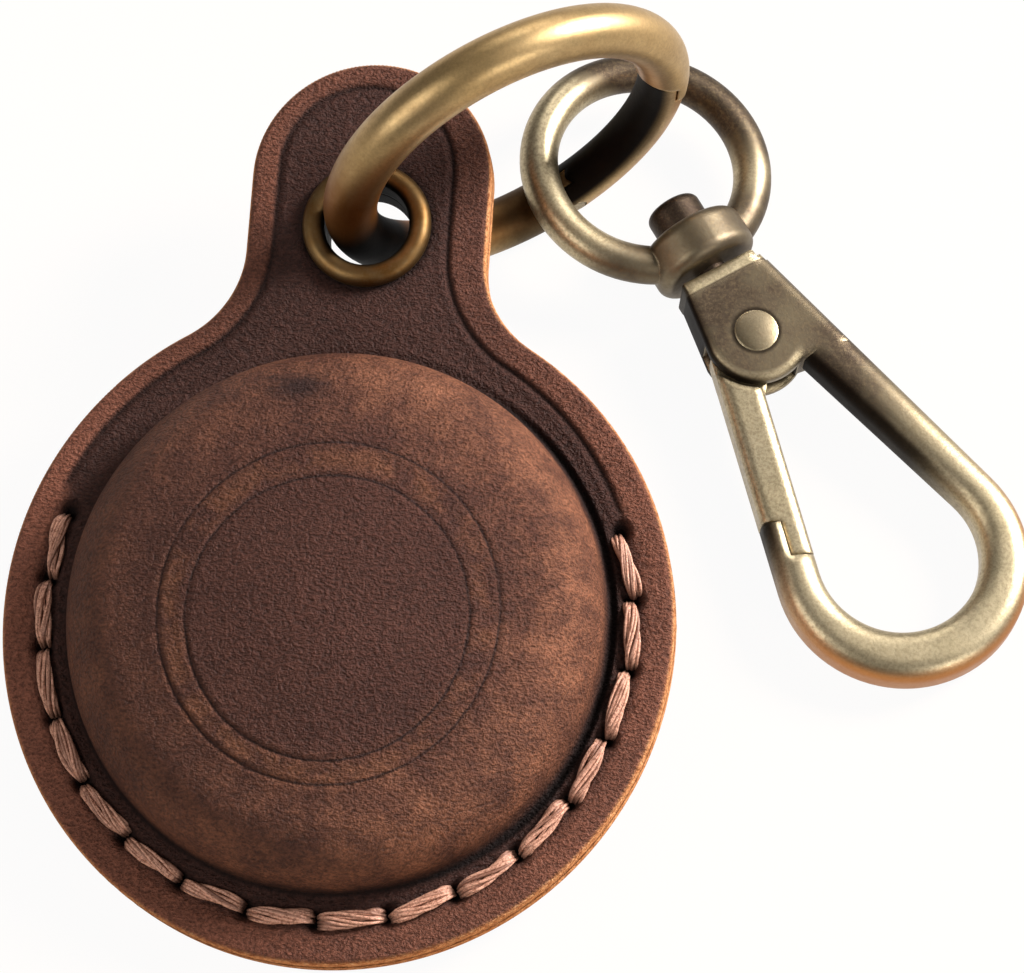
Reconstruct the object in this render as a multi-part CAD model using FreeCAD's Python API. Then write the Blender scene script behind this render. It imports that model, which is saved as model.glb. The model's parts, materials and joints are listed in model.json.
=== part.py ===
"""Leather tracker tag holder with a gate ring and a swivel snap hook, lying as it does on a table.

Millimetres, +Z up. The origin is the middle of the underside of the whole part's box.
The pieces are drawn in four frames and then set down together:
  holder: origin at the eyelets, where the panels meet, +Y to the top of the neck, +Z to the front
  ring:   origin at the ring's centre, X away from the eyelets, Y up, Z along the ring's axis
  hook:   origin at the eye's centre, Y along the post from the bow to the eye, Z off the hook's face
  eye:    the hook's frame, turned on the post
"""
import FreeCAD
import Part

import math
import os

Vector = FreeCAD.Vector
ORIGIN = Vector(0, 0, 0)
UP = Vector(0, 0, 1)

# Clearances
overrun = 1.0              # how far a cutting tool passes a face
press = 0.0                # radial gap of a pin that is driven tight
running = 0.04             # radial gap of a pin that turns
side_play = 0.06           # gap each side of a tongue in its slot
latch_gap = 0.15           # gap between a gate's stepped end and its catch
seat_gap = 0.05            # gap of a piece that lies in its recess

# Tag
tag_radius = 15.95
tag_thickness = 8.0
tag_wall = 1.3
tag_shoulder = 3.3         # rounding of the tag's front edge
tag_back_rounding = 0.7
cover_inset = 3.35         # tag's edge to the cover's
cover_thickness = 1.0
carrier_gap = 0.3          # between the carrier and the tag's wall
carrier_wall = 2.3
cell_thickness = 3.2
cell_chamfer = 0.4
board_inset = 2.0          # cover's edge to the board's
board_thickness = 0.8

# Leather panels
leather = 1.6
rim = 4.4                  # flat leather round the dome
eyelet_above_disc = 4.7    # disc's edge to eyelet centre
neck_half = 7.9
neck_rise = 11.3           # eyelet centre to the top of the neck
shoulder_radius = 7.0      # hollow curve between neck and disc
edge_rounding = 0.5
dome_wall = 1.2            # leather at the side of the dome, drawn thin by moulding
dome_flare = 0.2           # how much the dome widens at its foot
dome_shoulder = 4.9
crown_share = 3.5          # radius of the dome's crowned top, as a share of the dome's radius
dish_depth = 1.25          # how far the tag sinks into the back panel
dish_rounding = 1.6
dish_inner_rounding = 0.6
back_crown = 400.0         # radius of the nearly flat back
pocket_play = 0.05

# Crease and pressed rings
crease_inset = 2.7
crease_width = 0.55
crease_depth = 0.3
pressed_shares = (0.65, 0.54)    # radii of the rings, as shares of the dome's radius
pressed_groove = 0.35
pressed_depth = 0.22

# Seam
stitches = 16
seam_half_gap = 68.5       # degrees either side of the neck that stay open
thread_width = 1.2
thread_height = 0.62
thread_sink = 0.25
leg_share = 0.25           # how high the thread stands in its holes, as a share of a stitch's height
stitch_gap = 0.9           # between the ends of two stitches, over a hole
hole_radius = 0.65

# Eyelets and their washers
eyelet_bore = 2.8
eyelet_wall = 0.35
eyelet_radius = 4.22
eyelet_bead = 0.9
lip_share = 0.33           # height of the bead's inner lip
roll_height = 0.32
roll_reach = 0.45
washer_thickness = 0.4
washer_radius = 4.6

# Gate ring
ring_radius = 11.4
ring_wire = 1.75
gate_wire = 1.65
latch_angle = 1.0          # where gate and frame meet, from the direction away from the eyelets
hinge_angle = -66.0
latch_lip = 1.1            # overlap of the frame's lip over the gate's end
lap_share = 0.1            # lap face's distance outside the centre line, as a share of the wire
tongue_thickness = 1.0
hinge_gap = 0.4            # between the gate's round end and the frame
ring_pin_radius = 0.5
gate_bore = 0.72
gate_spring_length = 3.0
gate_spring_wire = 0.18
gate_spring_turns = 5

# Swivel eye and post
eye_radius = 7.35
eye_wire = 1.3
boss_radius = 3.65
boss_thickness = 3.2
boss_inset = 0.3           # boss centre inside the eye's centre line
boss_rounding = 0.8
post_radius = 1.05
post_head_radius = 1.9
post_head_height = 2.2
post_head_rounding = 0.6
post_depth = 1.9           # how far the post goes into the hook's head

# Snap hook
head_gap = 0.5             # bare post between boss and hook
ridge_height = 0.9
ridge_half_width = 2.75
ridge_proud = 0.25         # how far the ridge stands off the cheeks
cheek = 0.85
lever_slot = 1.8
rivet_offset = 7.3         # boss centre to rivet
cheek_radius = 3.5
cheek_rounding = 0.4
plate_inset = 0.35         # cheeks' straight side to the spine's
lobe_end = -60.0           # where the cheeks' round end meets the spine, as an angle about the rivet
bow_offset = 25.5          # boss centre to the centre of the bow's outer curve
bow_side = 0.4             # bow's centre to the right of the post
bow_radius = 8.35
bow_width = 2.95
loop_lift = 0.5            # inner curve's centre above the outer curve's
spine_angle = 13.5         # slant of the spine's outer side
spine_inner_angle = 15.3
nose_angle = 14.8
bar_thickness = 3.4
bar_rounding = 1.2
nose_reach = 18.0          # boss centre to the blank end of the nose, before it is stepped
nose_lap = 2.4
lever_width = 2.8
lever_thickness = 2.8
lever_rounding = 0.7
lever_reach = 15.7         # rivet to the lever's tip
tip_step_share = 0.46      # outer part of the lever's width that the nose overlaps
root_radius = 2.2
root_gap = 0.2
slot_start = 165.0         # upper end of the slot's open side, as an angle about the rivet
slot_swing = 128.0
lobe_gap = 0.4             # between the cheeks and the lever's shoulder
heel_share = 0.7           # height of the flat that the spring presses, as a share of the root's radius
rivet_radius = 0.8
rivet_head_radius = 1.45
rivet_head_height = 0.7
lever_spring_radius = 0.5
lever_spring_wire = 0.18
lever_spring_turns = 2
lever_spring_side = 1.05
lever_spring_depth = 0.6   # how far the spring sits in the head

# How the part lies, in degrees, and how the eye hangs on the ring
neck_heading = 4.2         # neck's turn to the right of +Y
lean_heading = 28.0        # uphill direction of the leaning leather, to the right of +Y
ring_heading = 26.5        # ring's direction from the eyelets, to the left of +X
ring_drop = 19.7           # where the eyelets hang on the ring, below its level
ring_shift = 0.5           # ring's wire left of the eyelets' centre
ring_side = 0.2            # ring's wire behind the eyelets' centre
hook_heading = -60.4       # bow's direction from the eye
link_angle = -72.2         # where on the ring the eye lies, from the direction away from the eyelets
link_turn = 17.0           # where on the eye the ring lies, from its side to its far end
link_gap = 0.08            # between the eye's wire and the ring's


def polar(radius, degrees, z=0):
    """Point at a radius and an angle from +X."""
    turn = math.radians(degrees)
    return Vector(radius * math.cos(turn), radius * math.sin(turn), z)


def face_of(edges):
    return Part.Face(Part.Wire(edges))


def line(start, end):
    return Part.LineSegment(start, end).toShape()


def arc(start, middle, end):
    return Part.Arc(start, middle, end).toShape()


def arc_about(centre, start, end):
    """Shorter arc between two points that lie equally far from a centre."""
    radius = (start - centre).Length
    middle = (start - centre) + (end - centre)
    middle.normalize()
    return arc(start, centre + middle * radius, end)


def disc_bar(radius, half_height, at, along=UP):
    """Cylinder that reaches equally far to both sides of a point."""
    return Part.makeCylinder(radius, 2 * half_height, at - along * half_height, along)


def fuse(shapes):
    return shapes[0].multiFuse(shapes[1:]).removeSplitter()


def turned(profile, axis_point):
    """Solid of revolution about an upright axis."""
    return profile.revolve(axis_point, UP, 360)


def mirrored_down(shape):
    """The same shape below the plane where the panels meet."""
    return shape.mirror(ORIGIN, UP)


def coil(radius, wire, length, turns):
    """Spring along +Z from the origin, one tube on half-turn arcs."""
    halves = 2 * turns
    rise = length / halves

    def on_coil(step):
        return polar(radius, 180 * step, rise * step)

    path = Part.Wire([arc(on_coil(i), on_coil(i + 0.5), on_coil(i + 1)) for i in range(halves)])
    first = path.Edges[0]
    section = Part.Wire(Part.makeCircle(wire, on_coil(0), first.tangentAt(first.FirstParameter)))
    return path.makePipeShell([section], True, False)


# Holder

pocket_radius = tag_radius + pocket_play
tag_front = tag_thickness - dish_depth + pocket_play
dome_top = tag_front + pocket_play + leather
dome_radius = pocket_radius + dome_wall
dome_crown = crown_share * dome_radius
disc_radius = dome_radius + rim
eyelet_offset = disc_radius + eyelet_above_disc
disc_centre = Vector(0, -eyelet_offset, 0)
seam_radius = disc_radius - crease_inset
eyelet_barrel = eyelet_bore + eyelet_wall
washer_recess = roll_height + washer_thickness + seat_gap


def keyhole(inset, bottom, height):
    """Panel outline drawn in from its edge by an inset, as a plate."""
    disc = disc_radius - inset
    half = neck_half - inset
    hollow = shoulder_radius + inset
    reach = math.sqrt((disc + hollow) ** 2 - (half + hollow) ** 2)
    hollow_y = reach - eyelet_offset
    on_disc = disc / (disc + hollow)
    right_hollow = Vector(half + hollow, hollow_y, bottom)
    left_hollow = Vector(-half - hollow, hollow_y, bottom)
    right_low = Vector((half + hollow) * on_disc, reach * on_disc - eyelet_offset, bottom)
    left_low = Vector(-right_low.x, right_low.y, bottom)
    right_side = Vector(half, hollow_y, bottom)
    left_side = Vector(-half, hollow_y, bottom)
    right_top = Vector(half, neck_rise - neck_half, bottom)
    left_top = Vector(-half, neck_rise - neck_half, bottom)
    edges = [
        arc_about(right_hollow, right_low, right_side),
        line(right_side, right_top),
        arc(right_top, Vector(0, neck_rise - inset, bottom), left_top),
        line(left_top, left_side),
        arc_about(left_hollow, left_side, left_low),
        arc(left_low, Vector(0, -eyelet_offset - disc, bottom), right_low),
    ]
    return face_of(edges).extrude(Vector(0, 0, height))


def panel_plate(bottom, outer):
    """Panel with its outer face's edge rounded."""
    plate = keyhole(0, bottom, leather)
    rim = [e for e in plate.Edges if all(abs(v.Z - outer) < seat_gap for v in e.Vertexes)]
    return plate.makeFillet(edge_rounding, rim)


def dome_face(foot_radius, wall_radius, foot, top, shoulder, crown):
    """Half section of a dome: flared wall, round shoulder and a crowned top, about the disc's centre."""
    crown_z = top - crown
    shoulder_x = wall_radius - shoulder
    shoulder_z = crown_z + math.sqrt((crown - shoulder) ** 2 - shoulder_x ** 2)
    at = disc_centre
    shoulder_centre = at + Vector(shoulder_x, 0, shoulder_z)
    crown_centre = at + Vector(0, 0, crown_z)
    meet = crown_centre + (shoulder_centre - crown_centre) * (crown / (crown - shoulder))
    wall_top = at + Vector(wall_radius, 0, shoulder_z)
    foot_edge = at + Vector(foot_radius, 0, foot)
    peak = at + Vector(0, 0, top)
    foot_middle = at + Vector(0, 0, foot)
    edges = [
        line(foot_middle, foot_edge),
        line(foot_edge, wall_top),
        arc_about(shoulder_centre, wall_top, meet),
        arc_about(crown_centre, meet, peak),
        line(peak, foot_middle),
    ]
    return face_of(edges)


def dome(foot_radius, wall_radius, foot, top, shoulder, crown):
    return turned(dome_face(foot_radius, wall_radius, foot, top, shoulder, crown), disc_centre)


def hole_angle(i):
    return -90 + (i / stitches - 0.5) * (360 - 2 * seam_half_gap)


def seam_holes(radius, half_length):
    """Upright bars at the seam's holes."""
    return [disc_bar(radius, half_length, disc_centre + polar(seam_radius, hole_angle(i)))
            for i in range(stitches + 1)]


def stitch_bars(width, height, length_over, bottom):
    """Round-topped bars on the front face, one from each hole to the next."""
    bars = []
    for i in range(stitches):
        start = disc_centre + polar(seam_radius, hole_angle(i))
        end = disc_centre + polar(seam_radius, hole_angle(i + 1))
        along = end - start
        span = along.Length - stitch_gap + length_over
        along.normalize()
        across = UP.cross(along) * (width / 2)
        first = (start + end) * 0.5 - along * (span / 2) + Vector(0, 0, bottom)
        top = first + Vector(0, 0, height)
        section = face_of([line(first - across, first + across), arc(first + across, top, first - across)])
        bars.append(section.extrude(along * span))
    return bars


def crease():
    """Groove that follows the neck's edge and runs out at the ends of the seam."""
    band = keyhole(crease_inset - crease_width / 2, leather - crease_depth, leather)
    band = band.cut(keyhole(crease_inset + crease_width / 2, 0, dome_top))
    reach = 2 * disc_radius
    seam_end_y = disc_centre.y + seam_radius * math.cos(math.radians(seam_half_gap))
    neck_side = Part.makeBox(2 * reach, reach, dome_top, Vector(-reach, seam_end_y, 0))
    return band.common(neck_side)


def pressed_rings():
    """Two round grooves pressed into the dome's top."""
    rings = []
    for share in pressed_shares:
        radius = share * dome_radius
        crown_z = dome_top - dome_crown + math.sqrt(dome_crown ** 2 - radius ** 2)
        centre = disc_centre + Vector(0, 0, crown_z + pressed_groove - pressed_depth)
        rings.append(Part.makeTorus(radius, pressed_groove, centre, UP))
    return rings


def seam_cuts():
    """Holes through both panels and the dents that the stitches press into the front face."""
    holes = seam_holes(hole_radius, leather + overrun)
    dents = stitch_bars(thread_width + 2 * seat_gap, thread_height + 2 * seat_gap,
                        2 * seat_gap, leather - thread_sink - seat_gap)
    return holes + dents


def eyelet_cuts():
    """Barrel hole and washer recess in a front panel."""
    hole = disc_bar(eyelet_barrel + seat_gap, leather + overrun, ORIGIN)
    recess = Part.makeCylinder(washer_radius + seat_gap, washer_recess)
    return [hole, recess]


def front_leather():
    outside = dome(dome_radius + dome_flare, dome_radius, 0, dome_top, dome_shoulder, dome_crown)
    pocket = dome(pocket_radius, pocket_radius, 0, dome_top - leather, tag_shoulder + pocket_play,
                  dome_crown - leather)
    panel = panel_plate(0, leather).fuse(outside)
    return panel.cut([pocket, crease()] + pressed_rings() + seam_cuts() + eyelet_cuts())


def back_leather():
    """Modelled as a front panel with a shallow dish and then mirrored."""
    outside = dome(dome_radius + dome_flare, dome_radius, 0, leather + dish_depth, dish_rounding, back_crown)
    pocket = dome(pocket_radius, pocket_radius, 0, dish_depth, dish_inner_rounding, back_crown - leather)
    panel = panel_plate(0, leather).fuse(outside)
    return mirrored_down(panel.cut([pocket, crease()] + seam_cuts() + eyelet_cuts()))


def seam_thread():
    """Waxed thread: a stitch on each face between two holes, joined through the holes."""
    front = stitch_bars(thread_width, thread_height, 0, leather - thread_sink)
    back = [mirrored_down(bar) for bar in front]
    legs = seam_holes(hole_radius - seat_gap, leather - thread_sink + thread_height * leg_share)
    return fuse(legs + front + back)


def eyelet():
    """Rolled eyelet of the front panel: bead outside, barrel, and a roll over the washer."""
    outer = Vector(eyelet_radius, 0, leather)
    bead_top = Vector((eyelet_radius + eyelet_bore) / 2, 0, leather + eyelet_bead)
    lip = Vector(eyelet_bore, 0, leather + eyelet_bead * lip_share)
    inner_end = Vector(eyelet_bore, 0, seat_gap)
    roll_edge = Vector(eyelet_barrel + roll_reach, 0, seat_gap)
    roll_top = Vector(eyelet_barrel + roll_reach, 0, roll_height)
    barrel_low = Vector(eyelet_barrel, 0, roll_height)
    barrel_high = Vector(eyelet_barrel, 0, leather)
    corners = [lip, inner_end, roll_edge, roll_top, barrel_low, barrel_high, outer]
    edges = [arc(outer, bead_top, lip)]
    edges += [line(a, b) for a, b in zip(corners, corners[1:])]
    return turned(face_of(edges), ORIGIN)


def washer():
    outside = Part.makeCylinder(washer_radius, washer_thickness, Vector(0, 0, roll_height))
    return outside.cut(disc_bar(eyelet_barrel + seat_gap, leather + overrun, ORIGIN))


# Tag

tag_back = pocket_play - dish_depth
cavity_floor = disc_centre + UP * (tag_back + cover_thickness)
cover_radius = tag_radius - cover_inset
carrier_radius = cover_radius - carrier_gap
cell_radius = carrier_radius - carrier_wall
board_radius = cover_radius - board_inset


def tag_body():
    """Outer form of the whole tag."""
    front = dome(tag_radius, tag_radius, 0, tag_front, tag_shoulder, dome_crown - leather)
    back = dome(tag_radius, tag_radius, 0, -tag_back, tag_back_rounding, back_crown - leather)
    return front.fuse(mirrored_down(back)).removeSplitter()


def tag_shell():
    """Round plastic body, hollow, open at the back where the cover goes."""
    opening = cover_radius + seat_gap
    mouth = disc_bar(opening, cover_thickness + overrun, cavity_floor)
    room = dome(opening, opening, cavity_floor.z, tag_front - tag_wall, tag_shoulder - tag_wall,
                dome_crown - leather - tag_wall)
    return tag_body().cut([mouth, room]).removeSplitter()


def tag_cover():
    """Round cover whose outer face carries on the tag's crowned back."""
    cover = Part.makeCylinder(cover_radius, cover_thickness, disc_centre + Vector(0, 0, tag_back))
    return cover.common(tag_body())


def tag_battery():
    cell = Part.makeCylinder(cell_radius, cell_thickness, cavity_floor)
    return cell.makeChamfer(cell_chamfer, [e for e in cell.Edges if e.Closed])


def tag_carrier():
    """Ring that holds the cell in the middle and the board above it."""
    ring = Part.makeCylinder(carrier_radius, cell_thickness, cavity_floor)
    return ring.cut(disc_bar(cell_radius + seat_gap, tag_thickness, cavity_floor))


def tag_board():
    return Part.makeCylinder(board_radius, board_thickness, cavity_floor + UP * cell_thickness)


# Gate ring

hinge = polar(ring_radius, hinge_angle)
latch_chord = 2 * ring_radius * math.sin(math.radians(latch_angle - hinge_angle) / 2)
lap_radius = ring_radius + lap_share * ring_wire
knuckle = gate_wire
ring_out = ring_radius + 2 * ring_wire
tongue_half = tongue_thickness / 2
gate_axis = UP.cross(hinge * (1 / ring_radius))
lip_span = math.degrees(2 * latch_lip / ring_radius)


def ring_arc(wire, start, end):
    """Round bar along the ring from one angle to another."""
    section = Part.Face(Part.Wire(Part.makeCircle(wire, Vector(ring_radius, 0, 0), Vector(0, 1, 0))))
    section.rotate(ORIGIN, UP, start)
    return section.revolve(ORIGIN, UP, end - start)


def latch_zone(grow):
    """What the gate takes up at its stepped end, enlarged by a gap."""
    body = disc_bar(latch_chord - latch_lip + grow, ring_out, hinge)
    step = disc_bar(latch_chord + grow, ring_out, hinge)
    return body.fuse(step.common(disc_bar(lap_radius + grow, ring_out, ORIGIN)))


def ring_frame():
    """Fixed arc: a lip that overlaps the gate's end, and a tongue that the gate's fork straddles."""
    main = ring_arc(ring_wire, latch_angle + lip_span, hinge_angle + 360)
    catch = ring_arc(ring_wire, latch_angle - lip_span, latch_angle + lip_span).cut(latch_zone(latch_gap))
    main = main.cut(disc_bar(knuckle + hinge_gap, ring_out, hinge))
    root = ring_arc(knuckle - seat_gap, hinge_angle - 2 * lip_span, hinge_angle)
    root = root.common(disc_bar(ring_out, tongue_half, ORIGIN))
    tongue = root.fuse(disc_bar(knuckle - seat_gap, tongue_half, hinge))
    frame = fuse([main, catch, tongue])
    return frame.cut(disc_bar(ring_pin_radius + press, ring_out, hinge))


def ring_gate():
    """Swinging arc: stepped at the latch, forked with a round end at the hinge, bored for its spring."""
    blank = ring_arc(gate_wire, hinge_angle, latch_angle + lip_span).common(latch_zone(0))
    blank = blank.fuse(Part.makeSphere(gate_wire, hinge))
    slot = disc_bar(knuckle + side_play, tongue_half + side_play, hinge)
    throat_length = knuckle + hinge_gap
    inward = hinge * (-1 / ring_radius)
    back_off = UP.cross(inward)
    throat = Part.makeBox(throat_length, 4 * knuckle, tongue_thickness + 2 * side_play)
    throat.Placement = FreeCAD.Placement(
        hinge + back_off * throat_length - inward * (2 * knuckle) - UP * (tongue_half + side_play),
        FreeCAD.Rotation(back_off * -1, inward, UP, "XYZ"))
    pin_hole = disc_bar(ring_pin_radius + running, ring_out, hinge)
    spring_hole = Part.makeCylinder(gate_bore, knuckle + gate_spring_length, hinge, gate_axis)
    return blank.cut([slot, throat, pin_hole, spring_hole]).removeSplitter()


def ring_pin():
    half = math.sqrt(gate_wire ** 2 - ring_pin_radius ** 2)
    return disc_bar(ring_pin_radius, half, hinge)


def ring_spring():
    """Coil in the gate's bore that bears on the end of the tongue."""
    radius = gate_bore - gate_spring_wire - running
    start = knuckle + side_play + gate_spring_wire
    room = gate_spring_length - side_play - 2 * gate_spring_wire - running
    spring = coil(radius, gate_spring_wire, room, gate_spring_turns)
    spring.Placement = FreeCAD.Placement(hinge + gate_axis * start, FreeCAD.Rotation(UP, gate_axis))
    return spring


# Swivel eye and hook

Y = Vector(0, 1, 0)
boss_offset = eye_radius - boss_inset
boss_centre = Vector(0, -boss_offset, 0)
head_top = boss_centre.y - boss_thickness / 2 - head_gap
rivet = Vector(0, boss_centre.y - rivet_offset, 0)
bow_centre = Vector(bow_side, boss_centre.y - bow_offset, 0)
loop_centre = bow_centre + Y * loop_lift
loop_radius = bow_radius - bow_width
head_floor = rivet.y + root_radius + root_gap
heel_y = rivet.y + root_radius * heel_share
cheek_half = lever_slot / 2 + cheek
root_half = lever_slot / 2 - side_play
far = bow_offset + bow_radius


def swivel_eye():
    ring = Part.makeTorus(eye_radius, eye_wire)
    boss = disc_bar(boss_radius, boss_thickness / 2, boss_centre, Y)
    boss = boss.makeFillet(boss_rounding, [e for e in boss.Edges if e.Closed])
    bore = disc_bar(post_radius + running, boss_thickness, boss_centre, Y)
    inside = Part.makeCylinder(post_head_radius + root_gap, 2 * post_head_height,
                               boss_centre + Y * (boss_thickness / 2), Y)
    return ring.cut(inside).fuse(boss).removeSplitter().cut(bore)


def swivel_post():
    """Pin through the boss, with a round head inside the eye, driven into the hook."""
    seat = boss_centre.y + boss_thickness / 2 + running
    head = Part.makeCylinder(post_head_radius, post_head_height, Vector(0, seat, 0), Y)
    top = [e for e in head.Edges if e.Closed and e.CenterOfMass.y > seat + post_head_rounding]
    head = head.makeFillet(post_head_rounding, top)
    foot = Vector(0, head_top - post_depth, 0)
    shank = Part.makeCylinder(post_radius, seat - foot.y, foot, Y)
    return head.fuse(shank).removeSplitter()


def side_line(centre, radius, angle, side, reach_y):
    """Tangent of a round curve, as its touching point and its point at another height."""
    turn = math.radians(angle)
    touch = centre + Vector(side * math.cos(turn), math.sin(turn), 0) * radius
    run = (reach_y - touch.y) * math.tan(turn)
    return touch, Vector(touch.x - side * run, reach_y, 0)


def flat_bar(edges, half):
    """Flat outline as a bar that reaches equally far above and below."""
    bar = face_of(edges).extrude(UP * (2 * half))
    bar.translate(UP * -half)
    return bar


def rounded_bar(edges, thickness, rounding):
    """Flat outline as a bar with its long edges rounded."""
    bar = flat_bar(edges, thickness / 2)
    rim = [e for e in bar.Edges if abs(abs(e.CenterOfMass.z) - thickness / 2) < seat_gap]
    return bar.makeFillet(rounding, rim)


def hook_bar():
    """Spine, bow and nose in one bar."""
    spine_top = head_top - ridge_height / 2 - plate_inset
    nose_top = boss_centre.y - nose_reach
    outer_right, spine_out = side_line(bow_centre, bow_radius, spine_angle, 1, spine_top)
    outer_left, nose_out = side_line(bow_centre, bow_radius, nose_angle, -1, nose_top)
    inner_left, nose_in = side_line(loop_centre, loop_radius, nose_angle, -1, nose_top)
    inner_right, spine_in = side_line(loop_centre, loop_radius, spine_inner_angle, 1, spine_top)
    edges = [
        line(spine_out, outer_right),
        arc(outer_right, bow_centre - Y * bow_radius, outer_left),
        line(outer_left, nose_out),
        line(nose_out, nose_in),
        line(nose_in, inner_left),
        arc(inner_left, loop_centre - Y * loop_radius, inner_right),
        line(inner_right, spine_in),
        line(spine_in, spine_out),
    ]
    return rounded_bar(edges, bar_thickness, bar_rounding)


def lever_edge(inset):
    """Two points of the lever's side, in line with the nose's outer side or drawn in from it."""
    return side_line(bow_centre, bow_radius - inset, nose_angle, -1, rivet.y)


def lever_zone(grow):
    """What the lever takes up at its stepped tip, enlarged by a gap."""
    low, high = lever_edge(lever_width * tip_step_share - grow)
    along = high - low
    along.normalize()
    inner_side = Part.makeBox(far, 2 * far, 2 * far)
    inner_side.Placement = FreeCAD.Placement(
        low - along * far - UP * far, FreeCAD.Rotation(along.cross(UP), along, UP, "XYZ"))
    body = disc_bar(lever_reach - nose_lap + grow, far, rivet)
    step = disc_bar(lever_reach + grow, far, rivet).common(inner_side)
    return body.fuse(step)


def nose_side():
    """Half of space on the lever's side of the loop."""
    corner = loop_centre - Vector(2 * far, 2 * far, far)
    return Part.makeBox(2 * far, 4 * far, 2 * far, corner)


def head_plate():
    """Cheeks and head as one block that runs on into the spine, before the slot is cut."""
    top_y = head_top - ridge_height / 2
    top_left = Vector(-ridge_half_width, top_y, 0)
    plate_curve = bow_radius - plate_inset
    top_right = side_line(bow_centre, plate_curve, spine_angle, 1, top_y)[1]
    low_right = side_line(bow_centre, plate_curve, spine_angle, 1, rivet.y - cheek_radius)[1]
    lobe_right = rivet + polar(cheek_radius, lobe_end)
    left = rivet - Vector(cheek_radius, 0, 0)
    edges = [
        line(top_left, top_right),
        line(top_right, low_right),
        line(low_right, lobe_right),
        arc_about(rivet, lobe_right, left),
        line(left, top_left),
    ]
    return rounded_bar(edges, 2 * cheek_half, cheek_rounding)


def lever_room():
    """Slot between the cheeks for the lever's root and its swing."""
    half = lever_slot / 2
    round_room = disc_bar(root_radius + root_gap, half, rivet)
    swing = Part.makeCylinder(cheek_radius + overrun, lever_slot, rivet - UP * half, UP, slot_swing)
    swing.rotate(rivet, UP, slot_start)
    return round_room.fuse(swing)


def hook_body():
    ridge = Part.makeBox(2 * ridge_half_width, ridge_height, 2 * (cheek_half + ridge_proud),
                         Vector(-ridge_half_width, head_top - ridge_height, -cheek_half - ridge_proud))
    ridge = ridge.makeFillet(ridge_proud, ridge.Edges)
    bar = hook_bar().cut(lever_zone(latch_gap).common(nose_side()))
    body = fuse([head_plate(), bar, ridge])
    post_foot = Vector(0, head_top - post_depth, 0)
    post_hole = Part.makeCylinder(post_radius + press, post_depth + overrun, post_foot, Y)
    rivet_hole = disc_bar(rivet_radius + press, far, rivet)
    spring_hole = Part.makeCylinder(lever_spring_radius + lever_spring_wire + running,
                                    head_floor + lever_spring_depth - heel_y,
                                    Vector(lever_spring_side, heel_y, 0), Y)
    return body.cut([lever_room(), post_hole, rivet_hole, spring_hole]).removeSplitter()


def root_web():
    """Web from the root's disc to the arm's inner and outer sides."""
    out_low, out_high = lever_edge(0)
    in_low, in_high = lever_edge(lever_width)
    shoulder_y = rivet.y - cheek_radius - lobe_gap
    outer = out_high + (out_low - out_high) * ((out_high.y - shoulder_y) / (out_high.y - out_low.y))
    inner = in_high + (in_low - in_high) * ((in_high.y - shoulder_y) / (in_high.y - in_low.y))
    left = rivet - Vector(root_radius, 0, 0)
    low = rivet - Y * root_radius
    corners = [rivet, left, outer, inner, low, rivet]
    return flat_bar([line(a, b) for a, b in zip(corners, corners[1:])], root_half)


def hook_lever():
    """Arm that closes the hook, stepped at its tip, with a thinner root between the cheeks."""
    out_low, out_high = lever_edge(0)
    in_low, in_high = lever_edge(lever_width)
    corners = [out_low, out_high, in_high, in_low, out_low]
    sides = [line(a, b) for a, b in zip(corners, corners[1:])]
    arm = rounded_bar(sides, lever_thickness, lever_rounding)
    arm = arm.cut(disc_bar(cheek_radius + lobe_gap, far, rivet)).common(lever_zone(0))
    shoulder = disc_bar(cheek_radius + 2 * lobe_gap, far, rivet)
    strip = flat_bar(sides, root_half).common(shoulder)
    root = disc_bar(root_radius, root_half, rivet)
    heel = Part.makeBox(2 * root_radius, root_radius, lever_slot,
                        Vector(-root_radius, heel_y, -lever_slot / 2))
    lever = fuse([arm, strip, root.cut(heel), root_web()])
    return lever.cut(disc_bar(rivet_radius + running, far, rivet)).removeSplitter()


def lever_rivet():
    shank = disc_bar(rivet_radius, cheek_half, rivet)
    ball = (rivet_head_radius ** 2 + rivet_head_height ** 2) / (2 * rivet_head_height)
    heads = []
    for side in (1, -1):
        top = rivet + UP * (side * (cheek_half + rivet_head_height))
        cap = Part.makeSphere(ball, top - UP * (side * ball))
        heads.append(cap.common(disc_bar(rivet_head_radius, rivet_head_height, top)))
    return fuse([shank] + heads)


def lever_spring():
    """Coil between the head and the heel of the lever."""
    bottom = heel_y + lever_spring_wire + running
    top = head_floor + lever_spring_depth - lever_spring_wire - running
    spring = coil(lever_spring_radius, lever_spring_wire, top - bottom, lever_spring_turns)
    spring.Placement = FreeCAD.Placement(Vector(lever_spring_side, bottom, 0), FreeCAD.Rotation(UP, Y))
    return spring


# How the pieces lie: the ring stands upright on the table, the leather leans from it to the table,
# and the hook lies on its boss and bow.

ring_height = ring_radius + ring_wire
eyelet_drop = ring_radius * math.sin(math.radians(ring_drop))
eyelet_height = ring_height - eyelet_drop
lean_arm = eyelet_offset * math.cos(math.radians(lean_heading - neck_heading)) + disc_radius - edge_rounding
lean_drop = leather - edge_rounding
lean = (math.asin((eyelet_height - edge_rounding) / math.hypot(lean_arm, lean_drop))
        - math.atan2(lean_drop, lean_arm))
eyelet_place = Vector(0, 0, eyelet_height)
lean_axis = polar(1, -lean_heading)
holder_turn = FreeCAD.Rotation(lean_axis, math.degrees(lean)) * FreeCAD.Rotation(UP, -neck_heading)
holder_place = FreeCAD.Placement(eyelet_place, holder_turn)

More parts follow.
